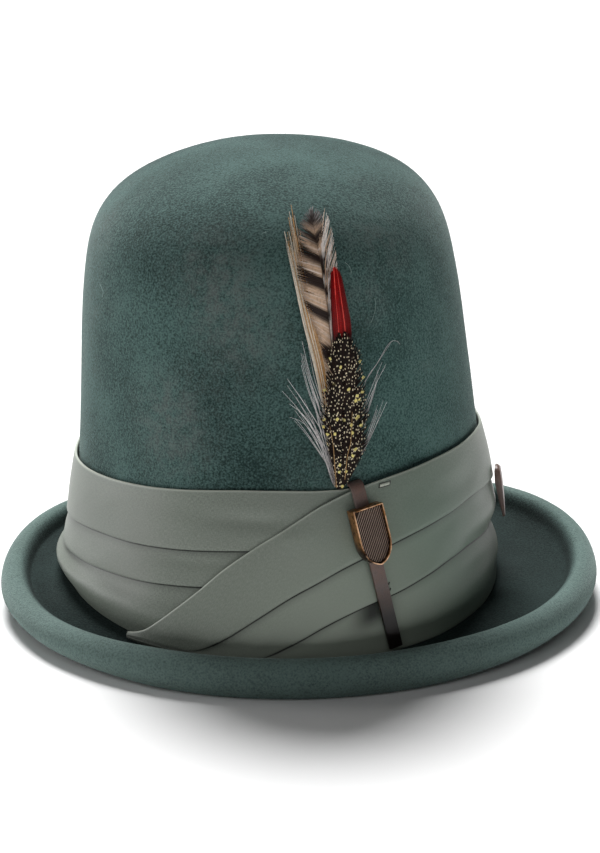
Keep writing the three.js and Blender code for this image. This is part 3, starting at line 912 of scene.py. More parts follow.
@dataclass
class Nap:
    """The felt's short loose fibres, and a few hairs of lint.

    Attributes:
        count: How many fibres there are.
        lengths: The shortest and the longest one.
        width: How thick they are.
        sink: How deep their roots go.
        sash_top: The height above which the crown is open.
        crown_top: The height above which all of the crown is its outside.
        brim_top: The height below which felt is the brim's.
        brim_gap: How far outside the crown's widest place the brim is open.
        scatter: How far roots stray from a face's middle, over its side.
        comb: Which way the felt is brushed.
        tousle: How far the fibres stray from that.
        rise: How far they stand up, at least and at most.
        least_rise: How much more all of them do.
        seed: What their places are drawn from.
        lint: Places of longer hairs across the front and up, each with the hair's far end, in millimetres.
        lint_width: How thick those are.
        lint_bow: How far they bow to the side, in millimetres.
    """

    count: int = 26000
    lengths: Pair = (0.5 * MM, 1.1 * MM)
    width: float = 0.07 * MM
    sink: float = 0.1 * MM
    sash_top: float = 70 * MM
    crown_top: float = 194.5 * MM
    brim_top: float = 30 * MM
    brim_gap: float = 4 * MM
    scatter: float = 0.45
    comb: Place = (0.25, 0, -0.6)
    tousle: float = 0.5
    rise: Pair = (0.15, 0.6)
    least_rise: float = 0.12
    seed: int = 11
    lint: tuple[Quad, ...] = (
        (20.3, 164.5, 22.6, 159.8), (32, 149.1, 30.3, 140.1), (-78.8, 147.7, -77.9, 143),
        (-12.2, 176.4, -10.9, 176.9), (-28.1, 184.3, -27.2, 184.9),
    )
    lint_width: float = 0.16 * MM
    lint_bow: float = 0.9

    def read_faces(self, felt: Piece) -> tuple[np.ndarray, np.ndarray, np.ndarray]:
        """Reads the felt's faces.

        Args:
            felt: The felt.

        Returns:
            Their middles, their normals and their areas.
        """
        faces = felt.data.polygons
        middles, normals, areas = (np.zeros(len(faces) * size) for size in (3, 3, 1))
        for name, values in (("center", middles), ("normal", normals), ("area", areas)):
            faces.foreach_get(name, values)
        return middles.reshape(-1, 3), normals.reshape(-1, 3), areas

    def find_open(self, surface: CrownSurface, middles: np.ndarray, normals: np.ndarray) -> np.ndarray:
        """Finds the faces of the felt that lie open to the eye.

        Args:
            surface: The felt.
            middles: The faces' middles.
            normals: Their normals.

        Returns:
            Whether each of them is open.
        """
        heights = middles[:, 2]
        across = np.hypot(middles[:, 0] - surface.axis_x, middles[:, 1] / surface.oval)
        outward = (middles[:, 0] - surface.axis_x) * normals[:, 0] + middles[:, 1] * normals[:, 1]
        on_crown = (heights > self.sash_top) & ((outward > 0) | (heights > self.crown_top))
        on_brim = (heights < self.brim_top) & (across > surface.half_width + self.brim_gap)
        return on_crown | (on_brim & ((normals[:, 2] > 0) | (outward > 0)))

    def build(self, surface: CrownSurface) -> Piece:
        """Builds the fibres on the felt's open faces, each a thin spike of four faces.

        Args:
            surface: The felt.

        Returns:
            The fibres.
        """
        draw = np.random.default_rng(self.seed)
        middles, normals, areas = self.read_faces(surface.felt)
        share = areas * self.find_open(surface, middles, normals)
        picked = draw.choice(len(areas), self.count, p=share / share.sum())
        out = normals[picked]
        lean = draw.normal(size=(self.count, 3))
        level = lean - (lean * out).sum(1)[:, None] * out
        roots = middles[picked] + level * self.scatter * np.sqrt(areas[picked])[:, None]
        lengths = draw.uniform(*self.lengths, self.count)[:, None]
        comb = np.array(self.comb) + draw.normal(scale=self.tousle, size=(self.count, 3))
        flow = out * draw.uniform(*self.rise, (self.count, 1)) + comb
        flow -= np.minimum((flow * out).sum(1), 0)[:, None] * out
        flow += out * self.least_rise
        flow /= np.linalg.norm(flow, axis=1)[:, None]
        side = np.cross(flow, out + 0.01)
        side *= self.width / 2 / np.linalg.norm(side, axis=1)[:, None]
        base = roots - out * self.sink
        spikes = np.stack([base - side, base + side, base + out * self.width, base + flow * lengths], axis=1)
        corners = spikes.reshape(-1, 3)
        corners[:, 2] = np.maximum(corners[:, 2], 0)
        first = np.arange(self.count)[:, None] * 4
        sides = ((0, 1, 2), (0, 3, 1), (1, 3, 2), (2, 3, 0))
        faces = np.concatenate([first + np.array(side) for side in sides])
        return Bench.make("felt_nap_fibres", corners.tolist(), faces.tolist())

    def build_lint(self, surface: CrownSurface) -> Piece:
        """Builds the longer hairs of lint on the crown's front.

        Args:
            surface: The felt.

        Returns:
            The hairs.
        """
        bundle = Fibres()
        for x1, z1, x2, z2 in self.lint:

            def seat(part: float) -> Seat:
                """Finds a place along the hair."""
                x = blend(x1, x2, part) + self.lint_bow * math.sin(math.pi * part)
                return surface.seat(x * MM, blend(z1, z2, part) * MM, 0.5 * MM)

            bundle.lay(seat, 8, self.lint_width, 0.8, 0.1, 1)
        return bundle.build("lint_hairs")


# Heights of the sash's upper edge and of its two folds, in millimetres, by how far round it they lie, in
# degrees on past 360: from its hidden start at the front, by the wearer's right, the back and the left, to
# the tip that crosses over the start. swell is how fully the pleats stand out, lift how much further the
# upper two do, waist how far the lower fold is drawn in, and over is 1 where the sash lies on its start.
SASH_ROWS = (
    # turn, top, fold1, fold2, swell, lift, waist, over
    (330, 75.6, 53.6, 38.2, 0.7, 1, 1, 0),
    (345, 75.8, 54.2, 38.8, 1, 1, 1, 0),
    (360, 76.8, 54, 38.9, 1, 1, 1, 0),
    (373, 76.6, 53.3, 38.5, 1, 1, 1, 0),
    (388, 74.6, 51.4, 36.8, 1, 1, 1, 0),
    (401, 72.5, 49.8, 35.1, 1, 1, 1, 0),
    (417, 70.2, 48.2, 33.7, 1.08, 1, 1, 0),
    (436, 68.2, 44.9, 31.6, 1.2, 1, 1, 0),
    (450, 67.4, 43.2, 30.4, 1.2, 1, 1, 0),
    (495, 69.5, 45, 31, 1.1, 1, 1, 0),
    (540, 72.5, 48.5, 32, 0.95, 1, 1, 0),
    (585, 75, 51.5, 32.4, 0.8, 1.2, 0.75, 0),
    (630, 77.2, 54, 32.8, 0.75, 1.55, 0.55, 0),
    (645, 79.4, 57.2, 36.3, 0.75, 1.55, 0.55, 0.1),
    (660, 79.8, 58.6, 39.3, 0.8, 1.3, 0.6, 0.35),
    (672, 79.9, 57.4, 39.4, 0.9, 1.1, 0.8, 0.75),
    (681, 79.2, 55.8, 37.1, 1, 1, 1, 1),
    (690, 78.1, 53.1, 33.6, 1, 1, 1, 1),
    (698, 76.2, 49.8, 30.8, 1, 1, 1, 1),
    (705, 73.2, 46, 27.2, 1, 1, 1, 1),
    (711, 69.3, 41.6, 23, 1, 1, 1, 1),
    (718, 62.9, 35.9, 16.9, 1, 1, 1, 1),
    (726, 55.3, 27.4, 11, 1, 1, 1, 1),
    (734, 46, 18.4, 11, 1, 1, 1, 1),
    (741, 35.6, 12.6, 11.6, 1, 1, 1, 1),
    (747, 27, 12.8, 12.2, 1, 1, 1, 1),
    (751, 21.4, 13, 12.6, 1, 1, 1, 1),
    (755, 16.6, 13.4, 12.9, 1, 1, 1, 1),
    (760, 13.6, 13, 12.6, 1, 1, 1, 1),
)


@dataclass
class Level:
    """One stretch of the sash's section, from one height down to another, in millimetres.

    Attributes:
        high: The upper height.
        low: The lower height.
        stands: How far its face stands off the crown, as part of the way down and distance.
        steps: How many points it takes.
    """

    high: float
    low: float
    stands: Edge
    steps: int

    def point(self, part: float) -> Pair:
        """The height and the distance off the crown part of the way down."""
        return blend(self.high, self.low, part), read_row(self.stands, part, 1)


@dataclass
class Sash:
    """The pleated sash: one strip of satin, folded under at each pleat. Sizes in millimetres.

    Attributes:
        step: How many degrees lie between its sections.
        cloth: How thick the satin is.
        tuck: How far each pleat is folded up behind its own edge.
        bend: The radius of a pressed fold.
        turned: How far the upper edge is turned in.
        gap_drops: How far under a fold the cloth's first points lie, the last of them clear of its gap.
        steps: How many points each pleat's face takes below those, from the top pleat down.
        hem_stand: How far the lower edge stands off the crown.
        hem_gap: How far it stays above the brim.
        hem_bend: The radius of its fold.
        hem_turned: How far the cloth is turned in there.
        over_top: Where the sash lies on its own start: a height, and its inside's distance off the crown.
        over_foot: The same near the brim.
        over_cloth: How far its face lies outside its inside there.
        over_edge: How much further out a pleat's lower edge comes there.
        recess: The crossing end's painted shade on the lowest pleat: how far round, how wide and how dark.
        shaded: How dark the painted shade is just under a fold, and how far down that fades out.
        creasing: How far it strays: by the soft hollows, by slow waves and by fine ones.
        crossing: How far round the crossing end starts, which the hollows to the wearer's right miss.
        weave_radius: The crown's mean radius by which the weave is laid out.
        mean_radius: The sash's mean radius; not used.
        soft: Soft hollows: angle, height, their spread round and up, and depth.
    """

    step: float = 1.25
    cloth: float = 0.4
    tuck: float = 4.5
    bend: float = 0.3
    turned: float = 8
    gap_drops: Triple = (0.5, 0.95, 1.4)
    steps: tuple[int, int, int] = (15, 13, 17)
    hem_stand: float = 5.6
    hem_gap: float = 0.6
    hem_bend: float = 0.45
    hem_turned: float = 5
    over_top: Pair = (80, 1.6)
    over_foot: Pair = (20, 9.1)
    over_cloth: float = 1.3
    over_edge: float = 0.8
    recess: Triple = (698, 4.5, 0.95)
    shaded: Pair = (0.35, 4.5)
    creasing: Triple = (0.85, 0.35, 0.12)
    crossing: float = 690
    weave_radius: float = 90
    mean_radius: float = 93.5
    soft: tuple[tuple[float, float, float, float, float], ...] = (
        (-8, 65, 9, 3, 1.3), (0, 59, 8, 2.4, -0.6), (-34, 68, 12, 4, 0.3), (-52, 58, 10, 5, 0.35),
        (-28, 46.5, 12, 2.8, 0.45), (-14, 44, 7, 2.2, -0.3), (-45, 30, 10, 4, 1.1), (-64, 40, 9, 3, 0.4),
        (-24, 27, 8, 5, 0.6), (58, 66, 8, 5, 0.5), (70, 52, 7, 4, 0.4), (44, 60, 7, 5, -0.3),
        (62, 28, 12, 4, 1.2), (38, 24, 8, 4, 0.5), (110, 55, 14, 6, 0.6), (150, 40, 16, 6, 0.7),
        (-100, 50, 14, 6, 0.6), (-140, 34, 16, 6, 0.7), (180, 62, 14, 5, 0.5),
    )

    def over_stand(self, height: float) -> float:
        """How far the sash's inside stands off the crown where it lies on its own start."""
        part = (self.over_top[0] - height) / (self.over_top[0] - self.over_foot[0])
        return blend(self.over_top[1], self.over_foot[1], min(max(part, 0), 1))

    def levels(self, surface: CrownSurface, turn: float) -> tuple[list[Level], float]:
        """Works out the three pleats at one place round the hat.

        Args:
            surface: The felt.
            turn: How far round the sash it is, in degrees.

        Returns:
            The pleats from the top down, and how far the sash lies on its own start there.
        """
        top, fold1, fold2, swell, lift, waist, over = (read_row(SASH_ROWS, turn, k) for k in range(1, 8))
        over = min(max(over, 0), 1)
        stand = blend(self.hem_stand, self.over_foot[1] + self.over_cloth, over)
        hem = surface.floor(surface.around(-turn, surface.flare, stand * MM)) / MM + self.hem_gap
        fold2 = max(fold2, hem + 0.5)
        fold1 = max(fold1, fold2 + 0.5)
        top = max(top, fold1 + 0.9)

        def stands(high: float, low: float, rows: Sequence[Triple]) -> Edge:
            """Blends a pleat's own stand with the one that it has on top of the start.

            Args:
                high: The pleat's upper height.
                low: Its lower height.
                rows: Its own stands: the part of the way down, the distance, and how near its edge it is.

            Returns:
                The stands, as part of the way down and distance.
            """
            found = []
            for part, alone, edge in rows:
                height = blend(high, low, part)
                laid = self.over_stand(height) + self.over_cloth + self.over_edge * edge
                found.append((part, blend(max(1.6, alone), laid, over)))
            return tuple(found)

        drawn, raised = swell * waist, swell * lift
        upper = stands(top, fold1, ((0, 1.6 * raised, 0), (0.5, 3.2 * raised, 0.5), (1, 4.2 * raised, 1)))
        middle = stands(fold1, fold2, ((0, 3.0 * raised, 0), (0.6, 4.8 * raised, 0.5), (1, 5.6 * drawn, 1)))
        bulge = ((0.25, 6.4 * swell, 0.5), (0.5, 8.0 * swell, 0.8), (0.7, 7.4 * swell, 0.75))
        lower = stands(fold2, hem, ((0, 4.4 * drawn, 0), *bulge, (1, self.hem_stand, 0.1)))
        pleats = ((top, fold1, upper), (fold1, fold2, middle), (fold2, hem, lower))
        return [Level(*pleat, steps) for pleat, steps in zip(pleats, self.steps)], over

    def fold_under(self, level: Level) -> list[Quad]:
        """Folds the cloth up behind a pleat's lower edge, and back down.

        Args:
            level: The pleat above the edge.

        Returns:
            Points of the cloth's middle: height, distance off the crown, no painted highlight, and how much
            painted shade they take deep in the gap under the fold.
        """
        height, face = level.point(1)
        bend = min(self.bend, (level.high - level.low) * 0.12)
        tuck = min(self.tuck, (level.high - level.low) * 0.5)
        middle = face - self.cloth / 2 - bend
        points = []
        for k in range(1, 6):
            turn = math.pi * k / 6
            points.append((height - bend * math.sin(turn), middle + bend * math.cos(turn), 0, ease(k / 4)))
        for part in (0, 0.5, 1):
            slope = read_row(level.stands, 1 - part * tuck / (level.high - level.low), 1) - face
            points.append((height + tuck * part, middle - bend + slope, 0, 1))
        deep = middle - bend - 0.55
        points.append((height + tuck + bend * 0.8, (points[-1][1] + deep) / 2 - 0.1, 0, 1))
        for part in (1, 0.45):
            slope = read_row(level.stands, 1 - part * tuck / (level.high - level.low), 1) - face
            points.append((height + tuck * part, deep + slope, 0, 1))
        return points

    def section(self, surface: CrownSurface, turn: float) -> list[Quad]:
        """Works out the cloth's middle line at one place round the hat.

        Args:
            surface: The felt.
            turn: How far round the sash it is, in degrees.

        Returns:
            Points from the turned-in upper edge down to the hem: height, distance off the crown, how much
            painted highlight they take near the upper edge, and how much painted shade near the gap under a
            fold.
        """
        pleats, over = self.levels(surface, turn)
        points = self.turn_in_top(pleats[0], over)
        for index, level in enumerate(pleats):
            points.extend(self.lay_face(level, index, turn))
            if index < 2:
                points.extend(self.fold_under(level))
        return points + self.turn_in_hem(pleats[2])

    def turn_in_top(self, upper: Level, over: float) -> list[Quad]:
        """Turns the cloth in over the upper edge.

        Args:
            upper: The upper pleat.
            over: How far the sash lies on its own start there.

        Returns:
            Points from the turned-in end up to the edge and over it.
        """
        half = self.cloth / 2
        height, face = upper.point(0)
        inside = face - half - 2 * self.bend
        turned = min(self.turned, (upper.high - upper.low) * 0.6)
        points = []
        for part in (1, 0.7, 0.4, 0.15):
            rise = blend(0.55 + half, self.over_stand(height - turned * part) + half, over)
            points.append((height - turned * part, min(inside, max(rise, 0.8)), 0, 1))
        for k in range(5):
            bend = math.pi * k / 5
            out = inside + self.bend * (1 - math.cos(bend))
            points.append((height - self.bend * (1 - math.sin(bend)), out, 1, 0))
        return points

    def lay_face(self, level: Level, index: int, turn: float) -> list[Quad]:
        """Lays the cloth down a pleat's face.

        Args:
            level: The pleat.
            index: Its number, from the top down.
            turn: How far round the sash it is, in degrees.

        Returns:
            Points down the face, from the edge or the gap above it.
        """
        tall = level.high - level.low
        near = min(1, tall / 5)
        drops = [drop * near for drop in (0, *self.gap_drops)]
        drops += [blend(drops[-1], tall, k / level.steps) for k in range(1, level.steps + 1)]
        points = []
        for k, drop in enumerate(drops):
            high, stand = level.point(drop / tall)
            fold, fold_shade = 0, 1 if k < len(self.gap_drops) else self.shade(turn, index, drop)
            if index == 0:
                fold, fold_shade = ease(1 - drop / 0.7), 0
            points.append((high, stand - self.cloth / 2, fold, fold_shade))
        return points if index else points[1:]

    def turn_in_hem(self, lower: Level) -> list[Quad]:
        """Turns the cloth in under the lower edge.

        Args:
            lower: The lowest pleat.

        Returns:
            Points round the hem and up behind it.
        """
        height, face = lower.point(1)
        inside = face - self.cloth / 2
        turned = self.hem_turned * min(1, (lower.high - lower.low) / 12)
        points = []
        for k in range(1, 6):
            bend = math.pi * k / 5
            out = inside - self.hem_bend * (1 - math.cos(bend))
            points.append((height - self.hem_bend * math.sin(bend), out, 0, 0))
        return points + [(height + turned * part, inside - 0.95, 0, 1) for part in (0.5, 1)]

    def shade(self, turn: float, index: int, drop: float) -> float:
        """Works out how much painted shade the cloth takes from the fold above it.

        Args:
            turn: How far round the sash it is, in degrees.
            index: Its pleat's number, from the top down.
            drop: How far down from the fold it is.

        Returns:
            The shade, from 0 to 1.
        """
        at, spread, dark = self.recess
        recess = dark * math.exp(-(((turn - at) / spread) ** 2)) if index == 2 else 0
        return max(self.shaded[0] * ease(1 - drop / self.shaded[1]), recess * ease(1.6 - drop / 8))

    def crease(self, turn: float, height: float, along: float) -> float:
        """How far the cloth strays in or out at a place, in millimetres.

        Args:
            turn: How far round the sash it is, in degrees.
            height: Its height.
            along: How far down the cloth it is, so that each pleat strays by itself.

        Returns:
            The distance, outwards.
        """
        angle = (-turn + 180) % 360 - 180
        total = 0.0
        if turn < self.crossing or angle > 0:
            for at, level, wide, tall, depth in self.soft:
                off = (angle - at + 180) % 360 - 180
                total -= depth * math.exp(-((off / wide) ** 2) - ((height - level) / tall) ** 2)
        slow = noise.noise(Vector((turn * 0.045, along * 0.05, 3.1)))
        fine = noise.noise(Vector((turn * 0.16 + height * 0.05, along * 0.16, 8.7)))
        by_soft, by_slow, by_fine = self.creasing
        return total * by_soft + by_slow * slow + by_fine * fine

    def build(self, surface: CrownSurface) -> Piece:
        """Builds the sash.

        Args:
            surface: The felt that it lies on.

        Returns:
            The sash.
        """
        first, last = SASH_ROWS[0][0], SASH_ROWS[-1][0]
        count = math.ceil((last - first) / self.step)
        corners, folds, fold_shades, uvs = [], [], [], []
        for i in range(count + 1):
            turn = blend(first, last, i / count)
            section = self.section(surface, turn)
            run, before = 0.0, section[0]
            for height, stand, fold, fold_shade in section:
                run += math.hypot(height - before[0], stand - before[1])
                before = (height, stand)
                out = stand + self.crease(turn, height, run) * ease(stand / 2 - 0.5)
                corners.append(surface.around(-turn, height * MM, out * MM))
                folds.append(fold)
                fold_shades.append(fold_shade)
                uvs.append((math.radians(turn) * self.weave_radius * MM, run * MM))
        line = len(corners) // (count + 1)
        firsts = [i * line + k for i in range(count) for k in range(line - 1)]
        faces = [(a, a + 1, a + line + 1, a + line) for a in firsts]
        piece = Bench.make("pleated_satin_sash", corners, faces)
        layer = piece.data.uv_layers.new(name="cloth")
        for loop in piece.data.loops:
            layer.data[loop.index].uv = uvs[loop.vertex_index]
        Bench.mark(piece, "fold", folds)
        Bench.mark(piece, "fold_shade", fold_shades)
        Bench.modify(piece, "SOLIDIFY", thickness=self.cloth * MM, offset=0)
        Bench.smooth(piece, 75)
        return piece


@dataclass
class LeatherStrip:
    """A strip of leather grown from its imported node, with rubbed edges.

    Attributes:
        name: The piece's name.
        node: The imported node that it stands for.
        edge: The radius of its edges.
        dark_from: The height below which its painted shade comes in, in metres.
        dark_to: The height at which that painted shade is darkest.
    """

    name: str
    node: str
    edge: float = 0.3 * MM
    dark_from: float = 42 * MM
    dark_to: float = 24 * MM

    def build(self, nodes: dict[str, Piece]) -> Piece:
        """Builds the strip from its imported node.

        Args:
            nodes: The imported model's nodes by name.

        Returns:
            The strip.
        """
        piece = Bench.copy_of(nodes[self.node], self.name)
        Bench.round_edges(piece, self.edge, 3, 50)
        Bench.smooth(piece, 50)
        # Painted shade, marked darker towards the strip's lower end.
        span = self.dark_from - self.dark_to
        Bench.mark(piece, "shade", [ease((self.dark_from - v.co.z) / span) for v in piece.data.vertices])
        return piece


@dataclass
class ShieldSlide:
    """The shield-shaped slide on the strap. Sizes in millimetres.

    Attributes:
        width: Its width.
        length: Its length.
        depth: How deep its wall is.
        shoulder: How far down its sides are straight.
        waist: How full its lower sides are.
        border: The width of its rim.
        recess: How deep the ribbed plate lies.
        ribs: How many ribs cross the plate.
        rib_lean: How far the ribs lean from upright, in degrees.
        way_width: How wide the strap's way through the wall is.
        way_depth: How deep it is.
        rim: The radius of the wall's edges.
    """

    width: float = 13.6
    length: float = 24
    depth: float = 6
    shoulder: float = 13
    waist: float = 0.85
    border: float = 0.55
    recess: float = 0.9
    ribs: int = 20
    rib_lean: float = -36
    way_width: float = 6.6
    way_depth: float = 1.9
    rim: float = 0.15

    def place(self, plate: Piece) -> Matrix:
        """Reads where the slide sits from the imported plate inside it.

        Args:
            plate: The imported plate.

        Returns:
            The slide's place, with its own +Z out from the hat and its +Y up along the strap.
        """
        out = Vector()
        for face in plate.data.polygons:
            if face.normal.dot(Vector((0, -1, 0.3))) > 0.75:
                out += face.normal * face.area
        out.normalize()
        places = {tuple(round(x, 6) for x in corner.co) for corner in plate.data.vertices}
        corners = [Vector(place) for place in sorted(places)]
        middle = sum(corners, Vector()) / len(corners)
        flat = np.array([(c - middle) - out * (c - middle).dot(out) for c in corners])
        _, _, axes = np.linalg.svd(flat, full_matrices=False)
        up = Vector(axes[0])
        if up.z < 0:
            up.negate()
        across = up.cross(out).normalized()
        spans = [((c - middle).dot(across), (c - middle).dot(up), (c - middle).dot(out)) for c in corners]
        low, high = np.min(spans, axis=0), np.max(spans, axis=0)
        face_depth = (self.depth - self.recess) * MM
        origin = middle + across * (low[0] + high[0]) / 2 + up * (low[1] + high[1]) / 2
        origin += out * (high[2] - face_depth)
        return Matrix.Translation(origin) @ Matrix((across, up, out)).transposed().to_4x4()

    def outline(self, inset: float) -> list[Pair]:
        """Draws the shield's outline, in millimetres about its middle.

        Args:
            inset: How far inside the outer edge it runs.

        Returns:
            Its corners, going round.
        """
        half, top = self.width / 2 - inset, self.length / 2 - inset
        shoulder = self.length / 2 - self.shoulder
        foot = -self.length / 2 + inset * 1.3
        rows = [(half, top), (half, (top + shoulder) / 2), (half, shoulder)]
        for k in range(1, 12):
            part = k / 12
            drop = (1 - part) ** 2 * shoulder + 2 * part * (1 - part) * foot * self.waist + part**2 * foot
            rows.append(((1 - part) ** 2 * half + 2 * part * (1 - part) * half, drop))
        mirrored = [(-x, y) for x, y in reversed(rows)]
        return rows + [(0, foot)] + mirrored + [(-half / 3, top), (half / 3, top)]

    def block(self, name: str, inset: float, low: float, high: float) -> Piece:
        """Makes a shield-shaped block from a disc.

        Args:
            name: The block's name.
            inset: How far inside the outer edge it runs, in millimetres.
            low: Where it starts, outwards.
            high: Where it ends.

        Returns:
            The block, about the slide's own middle.
        """
        Bench.clear()
        outline = self.outline(inset)
        bpy.ops.mesh.primitive_circle_add(vertices=len(outline), radius=1, fill_type="NGON")
        piece = bpy.context.object
        piece.name = name
        for corner, (x, y) in zip(piece.data.vertices, reversed(outline)):
            corner.co = Vector((x, y, low)) * MM
        Bench.edit(piece)
        bpy.ops.mesh.extrude_region_move(TRANSFORM_OT_translate={"value": (0, 0, (high - low) * MM)})
        bpy.ops.mesh.select_all(action="SELECT")
        bpy.ops.mesh.normals_make_consistent(inside=False)
        bpy.ops.object.mode_set(mode="OBJECT")
        return piece

    def cut(self, piece: Piece, tool: Piece, kind: str) -> None:
        """Cuts or joins a piece with another, which is used up."""
        Bench.modify(piece, "BOOLEAN", object=tool, operation=kind, solver="EXACT")
        bpy.data.objects.remove(tool)

    def build_wall(self, place: Matrix) -> Piece:
        """Builds the deep wall with its rounded rim and the way for the strap.

        Args:
            place: The slide's place.

        Returns:
            The wall.
        """
        piece = self.block("shield_wall", 0, 0, self.depth)
        self.cut(piece, self.block("shield_room", self.border, -1, self.depth + 1), "DIFFERENCE")
        Bench.round_edges(piece, self.rim * MM, 2, 55)
        Bench.clear()
        bpy.ops.mesh.primitive_cube_add(size=1, location=(0, 0, 0))
        way = bpy.context.object
        sizes = Vector((self.way_width, 2 * self.length, 2 * self.way_depth)) * MM
        way.data.transform(Matrix.Diagonal((*sizes, 1)))
        self.cut(piece, way, "DIFFERENCE")
        # Painted shade: the wall darkens towards its lower left, where less light falls.
        shades = []
        for corner in piece.data.vertices:
            low, right = -0.5 * MM - corner.co.y, 2 * MM - corner.co.x
            shades.append(ease(low / (5 * MM)) * ease(right / (3 * MM)))
        Bench.mark(piece, "shade", shades)
        self.mark_worn_and_lit(piece, self.depth - 0.16, self.depth - 0.02)
        piece.data.transform(place)
        Bench.smooth(piece, 35)
        return piece

    def build_plate(self, place: Matrix) -> Piece:
        """Builds the plate with its fine leaning ribs.

        Args:
            place: The slide's place.

        Returns:
            The plate.
        """
        face = self.depth - self.recess
        piece = self.block("shield_ribbed_plate", self.border + 0.05, face - 1.4, face - 0.25)
        bars = self.make_ribs(face)
        self.cut(bars, self.block("rib_limit", self.border + 0.35, face - 1, face + 1), "INTERSECT")
        self.cut(piece, bars, "UNION")
        self.mark_worn_and_lit(piece, face - 0.22, face + 0.05)
        piece.data.transform(place)
        Bench.smooth(piece, 30)
        return piece

    def mark_worn_and_lit(self, piece: Piece, low: float, high: float) -> None:
        """Marks how rubbed a piece is, which also sets its painted highlight: not at all below one height,
        and fully above another.
        """
        Bench.mark(piece, "worn_and_lit", [ease((v.co.z / MM - low) / (high - low)) for v in piece.data.vertices])

    def make_ribs(self, face: float) -> Piece:
        """Makes the row of ribs, longer than the plate.

        Args:
            face: The height of the plate's face, in millimetres.

        Returns:
            The ribs as one piece.
        """
        step = (self.width - 2 * self.border) * 1.5 / self.ribs
        Bench.clear()
        bpy.ops.mesh.primitive_cylinder_add(
            vertices=10, radius=step * 0.36 * MM, depth=self.length * 1.6 * MM
        )
        bars = bpy.context.object
        bars.name = "rib_bars"
        bars.data.transform(Matrix.Rotation(math.radians(90), 4, "X"))
        Bench.modify(
            bars, "ARRAY", count=self.ribs + 1, use_relative_offset=False, use_constant_offset=True,
            constant_offset_displace=(step * MM, 0, 0),
        )
        bars.data.transform(Matrix.Translation((-step * self.ribs / 2 * MM, 0, 0)))
        bars.data.transform(Matrix.Rotation(math.radians(self.rib_lean), 4, "Z"))
        bars.data.transform(Matrix.Translation((0, 0, (face - 0.3) * MM)))
        return bars


class Fibres:
    """Gathers many thin closed fibres into one mesh."""

    def __init__(self) -> None:
        """Starts with none."""
        self.corners: list[Vector] = []
        self.faces: list[tuple[int, ...]] = []
        self.shades: list[float] = []
        self.tints: list[float] = []

    def add(
        self, line: Sequence[Vector], outs: Sequence[Vector], widths: Sequence[float], thick: float,
        shades: Sequence[float], tint: float,
    ) -> None:
        """Adds one fibre with a ridged section.

        Args:
            line: The points along it.
            outs: The direction away from the felt at each of them.
            widths: Its width at each of them.
            thick: Its thickness over its width.
            shades: Its shade at each of them.
            tint: Its tint.
        """
        first, count = len(self.corners), len(line)
        for i, point in enumerate(line):
            along = line[min(i + 1, count - 1)] - line[max(i - 1, 0)]
            side = along.cross(outs[i]).normalized() * widths[i] / 2
            self.corners += [point - side, point + side, point + outs[i] * widths[i] * thick]
            self.shades += [shades[i]] * 3
        self.tints += [tint] * (3 * count)
        for i in range(count - 1):
            here, after = first + 3 * i, first + 3 * i + 3
            for k in range(3):
                up = (k + 1) % 3
                self.faces.append((here + k, after + k, after + up, here + up))
        end = first + 3 * (count - 1)
        self.faces += [(first, first + 1, first + 2), (end + 2, end + 1, end)]

    def lay(
        self, seat: Callable[[float], Seat], steps: int, width: float, thick: float, shade: float, tint: float
    ) -> None:
        """Adds one even fibre, with its places and the normals below them found by the part along it."""
        line, outs = zip(*(seat(k / steps) for k in range(steps + 1)))
        self.add(line, outs, [width] * len(line), thick, [shade] * len(line), tint)

    def build(self, name: str) -> Piece:
        """Makes the fibres one piece.

        Args:
            name: The piece's name.

        Returns:
            The piece.
        """
        piece = Bench.make(name, self.corners, self.faces)
        Bench.mark(piece, "shade", self.shades)
        Bench.mark(piece, "tint", self.tints)
        Bench.smooth(piece, 70)
        return piece


@dataclass
class Feather:
    """What every feather of the mount shares. Sizes in millimetres, seen from the front.

    Attributes:
        surface: The felt that it lies on.
        layer: How far it lies above the felt.
        seed: What its irregularities are drawn from.
        gather_height: The height at which it slips behind the sash.
        gather_reach: Over how much height it bends down to the felt there.
    """

    surface: CrownSurface
    layer: float
    seed: int
    gather_height: float = 74
    gather_reach: float = 16

    def __post_init__(self) -> None:
        """Starts its bundle of fibres."""
        self.bundle = Fibres()
        self.draw = random.Random(self.seed)
        self.vary = self.draw.uniform

    def stand(self, height: float, extra: float = 0.0) -> float:
        """How far above the felt it lies at a height, in metres."""
        near = 0.35 + 0.65 * ease((height - self.gather_height) / self.gather_reach)
        return (self.layer * near + extra) * MM

    def between(self, left: Edge, right: Edge, part: float, height: float) -> Pair:
        """Finds the place part of the way from a left edge to a right one, at a height."""
        return blend(read_row(left, height, 1), read_row(right, height, 1), part), height

    def strand(
        self, points: Sequence[Pair], width: float, steps: int, shade: Shading,
        tint: float, extra: Callable[[float], float] = lambda part: 0.0, taper: float = 0.2,
        thick: float = 0.3,
    ) -> None:
        """Lays one barb or hair along a smooth path.

        Args:
            points: The path from its root to its tip, across and up.
            width: Its width at the root.
            steps: How many stretches it has.
            shade: Its shade, by the part along it and its height.
            tint: Its tint.
            extra: How much higher than its layer it lies, by the part along it.
            taper: Its width at the tip, as a part of that at the root.
            thick: Its thickness over its width.
        """
        line, outs, widths, shades = [], [], [], []
        for i in range(steps + 1):
            part = i / steps
            x, z = along_path(points, part)
            place, normal = self.surface.seat(x * MM, z * MM, self.stand(z, extra(part)))
            line.append(place)
            outs.append(normal)
            widths.append(width * MM * blend(1, taper, ease(part * 1.4 - 0.4)))
            shades.append(shade(part, z))
        self.bundle.add(line, outs, widths, thick, shades, tint)


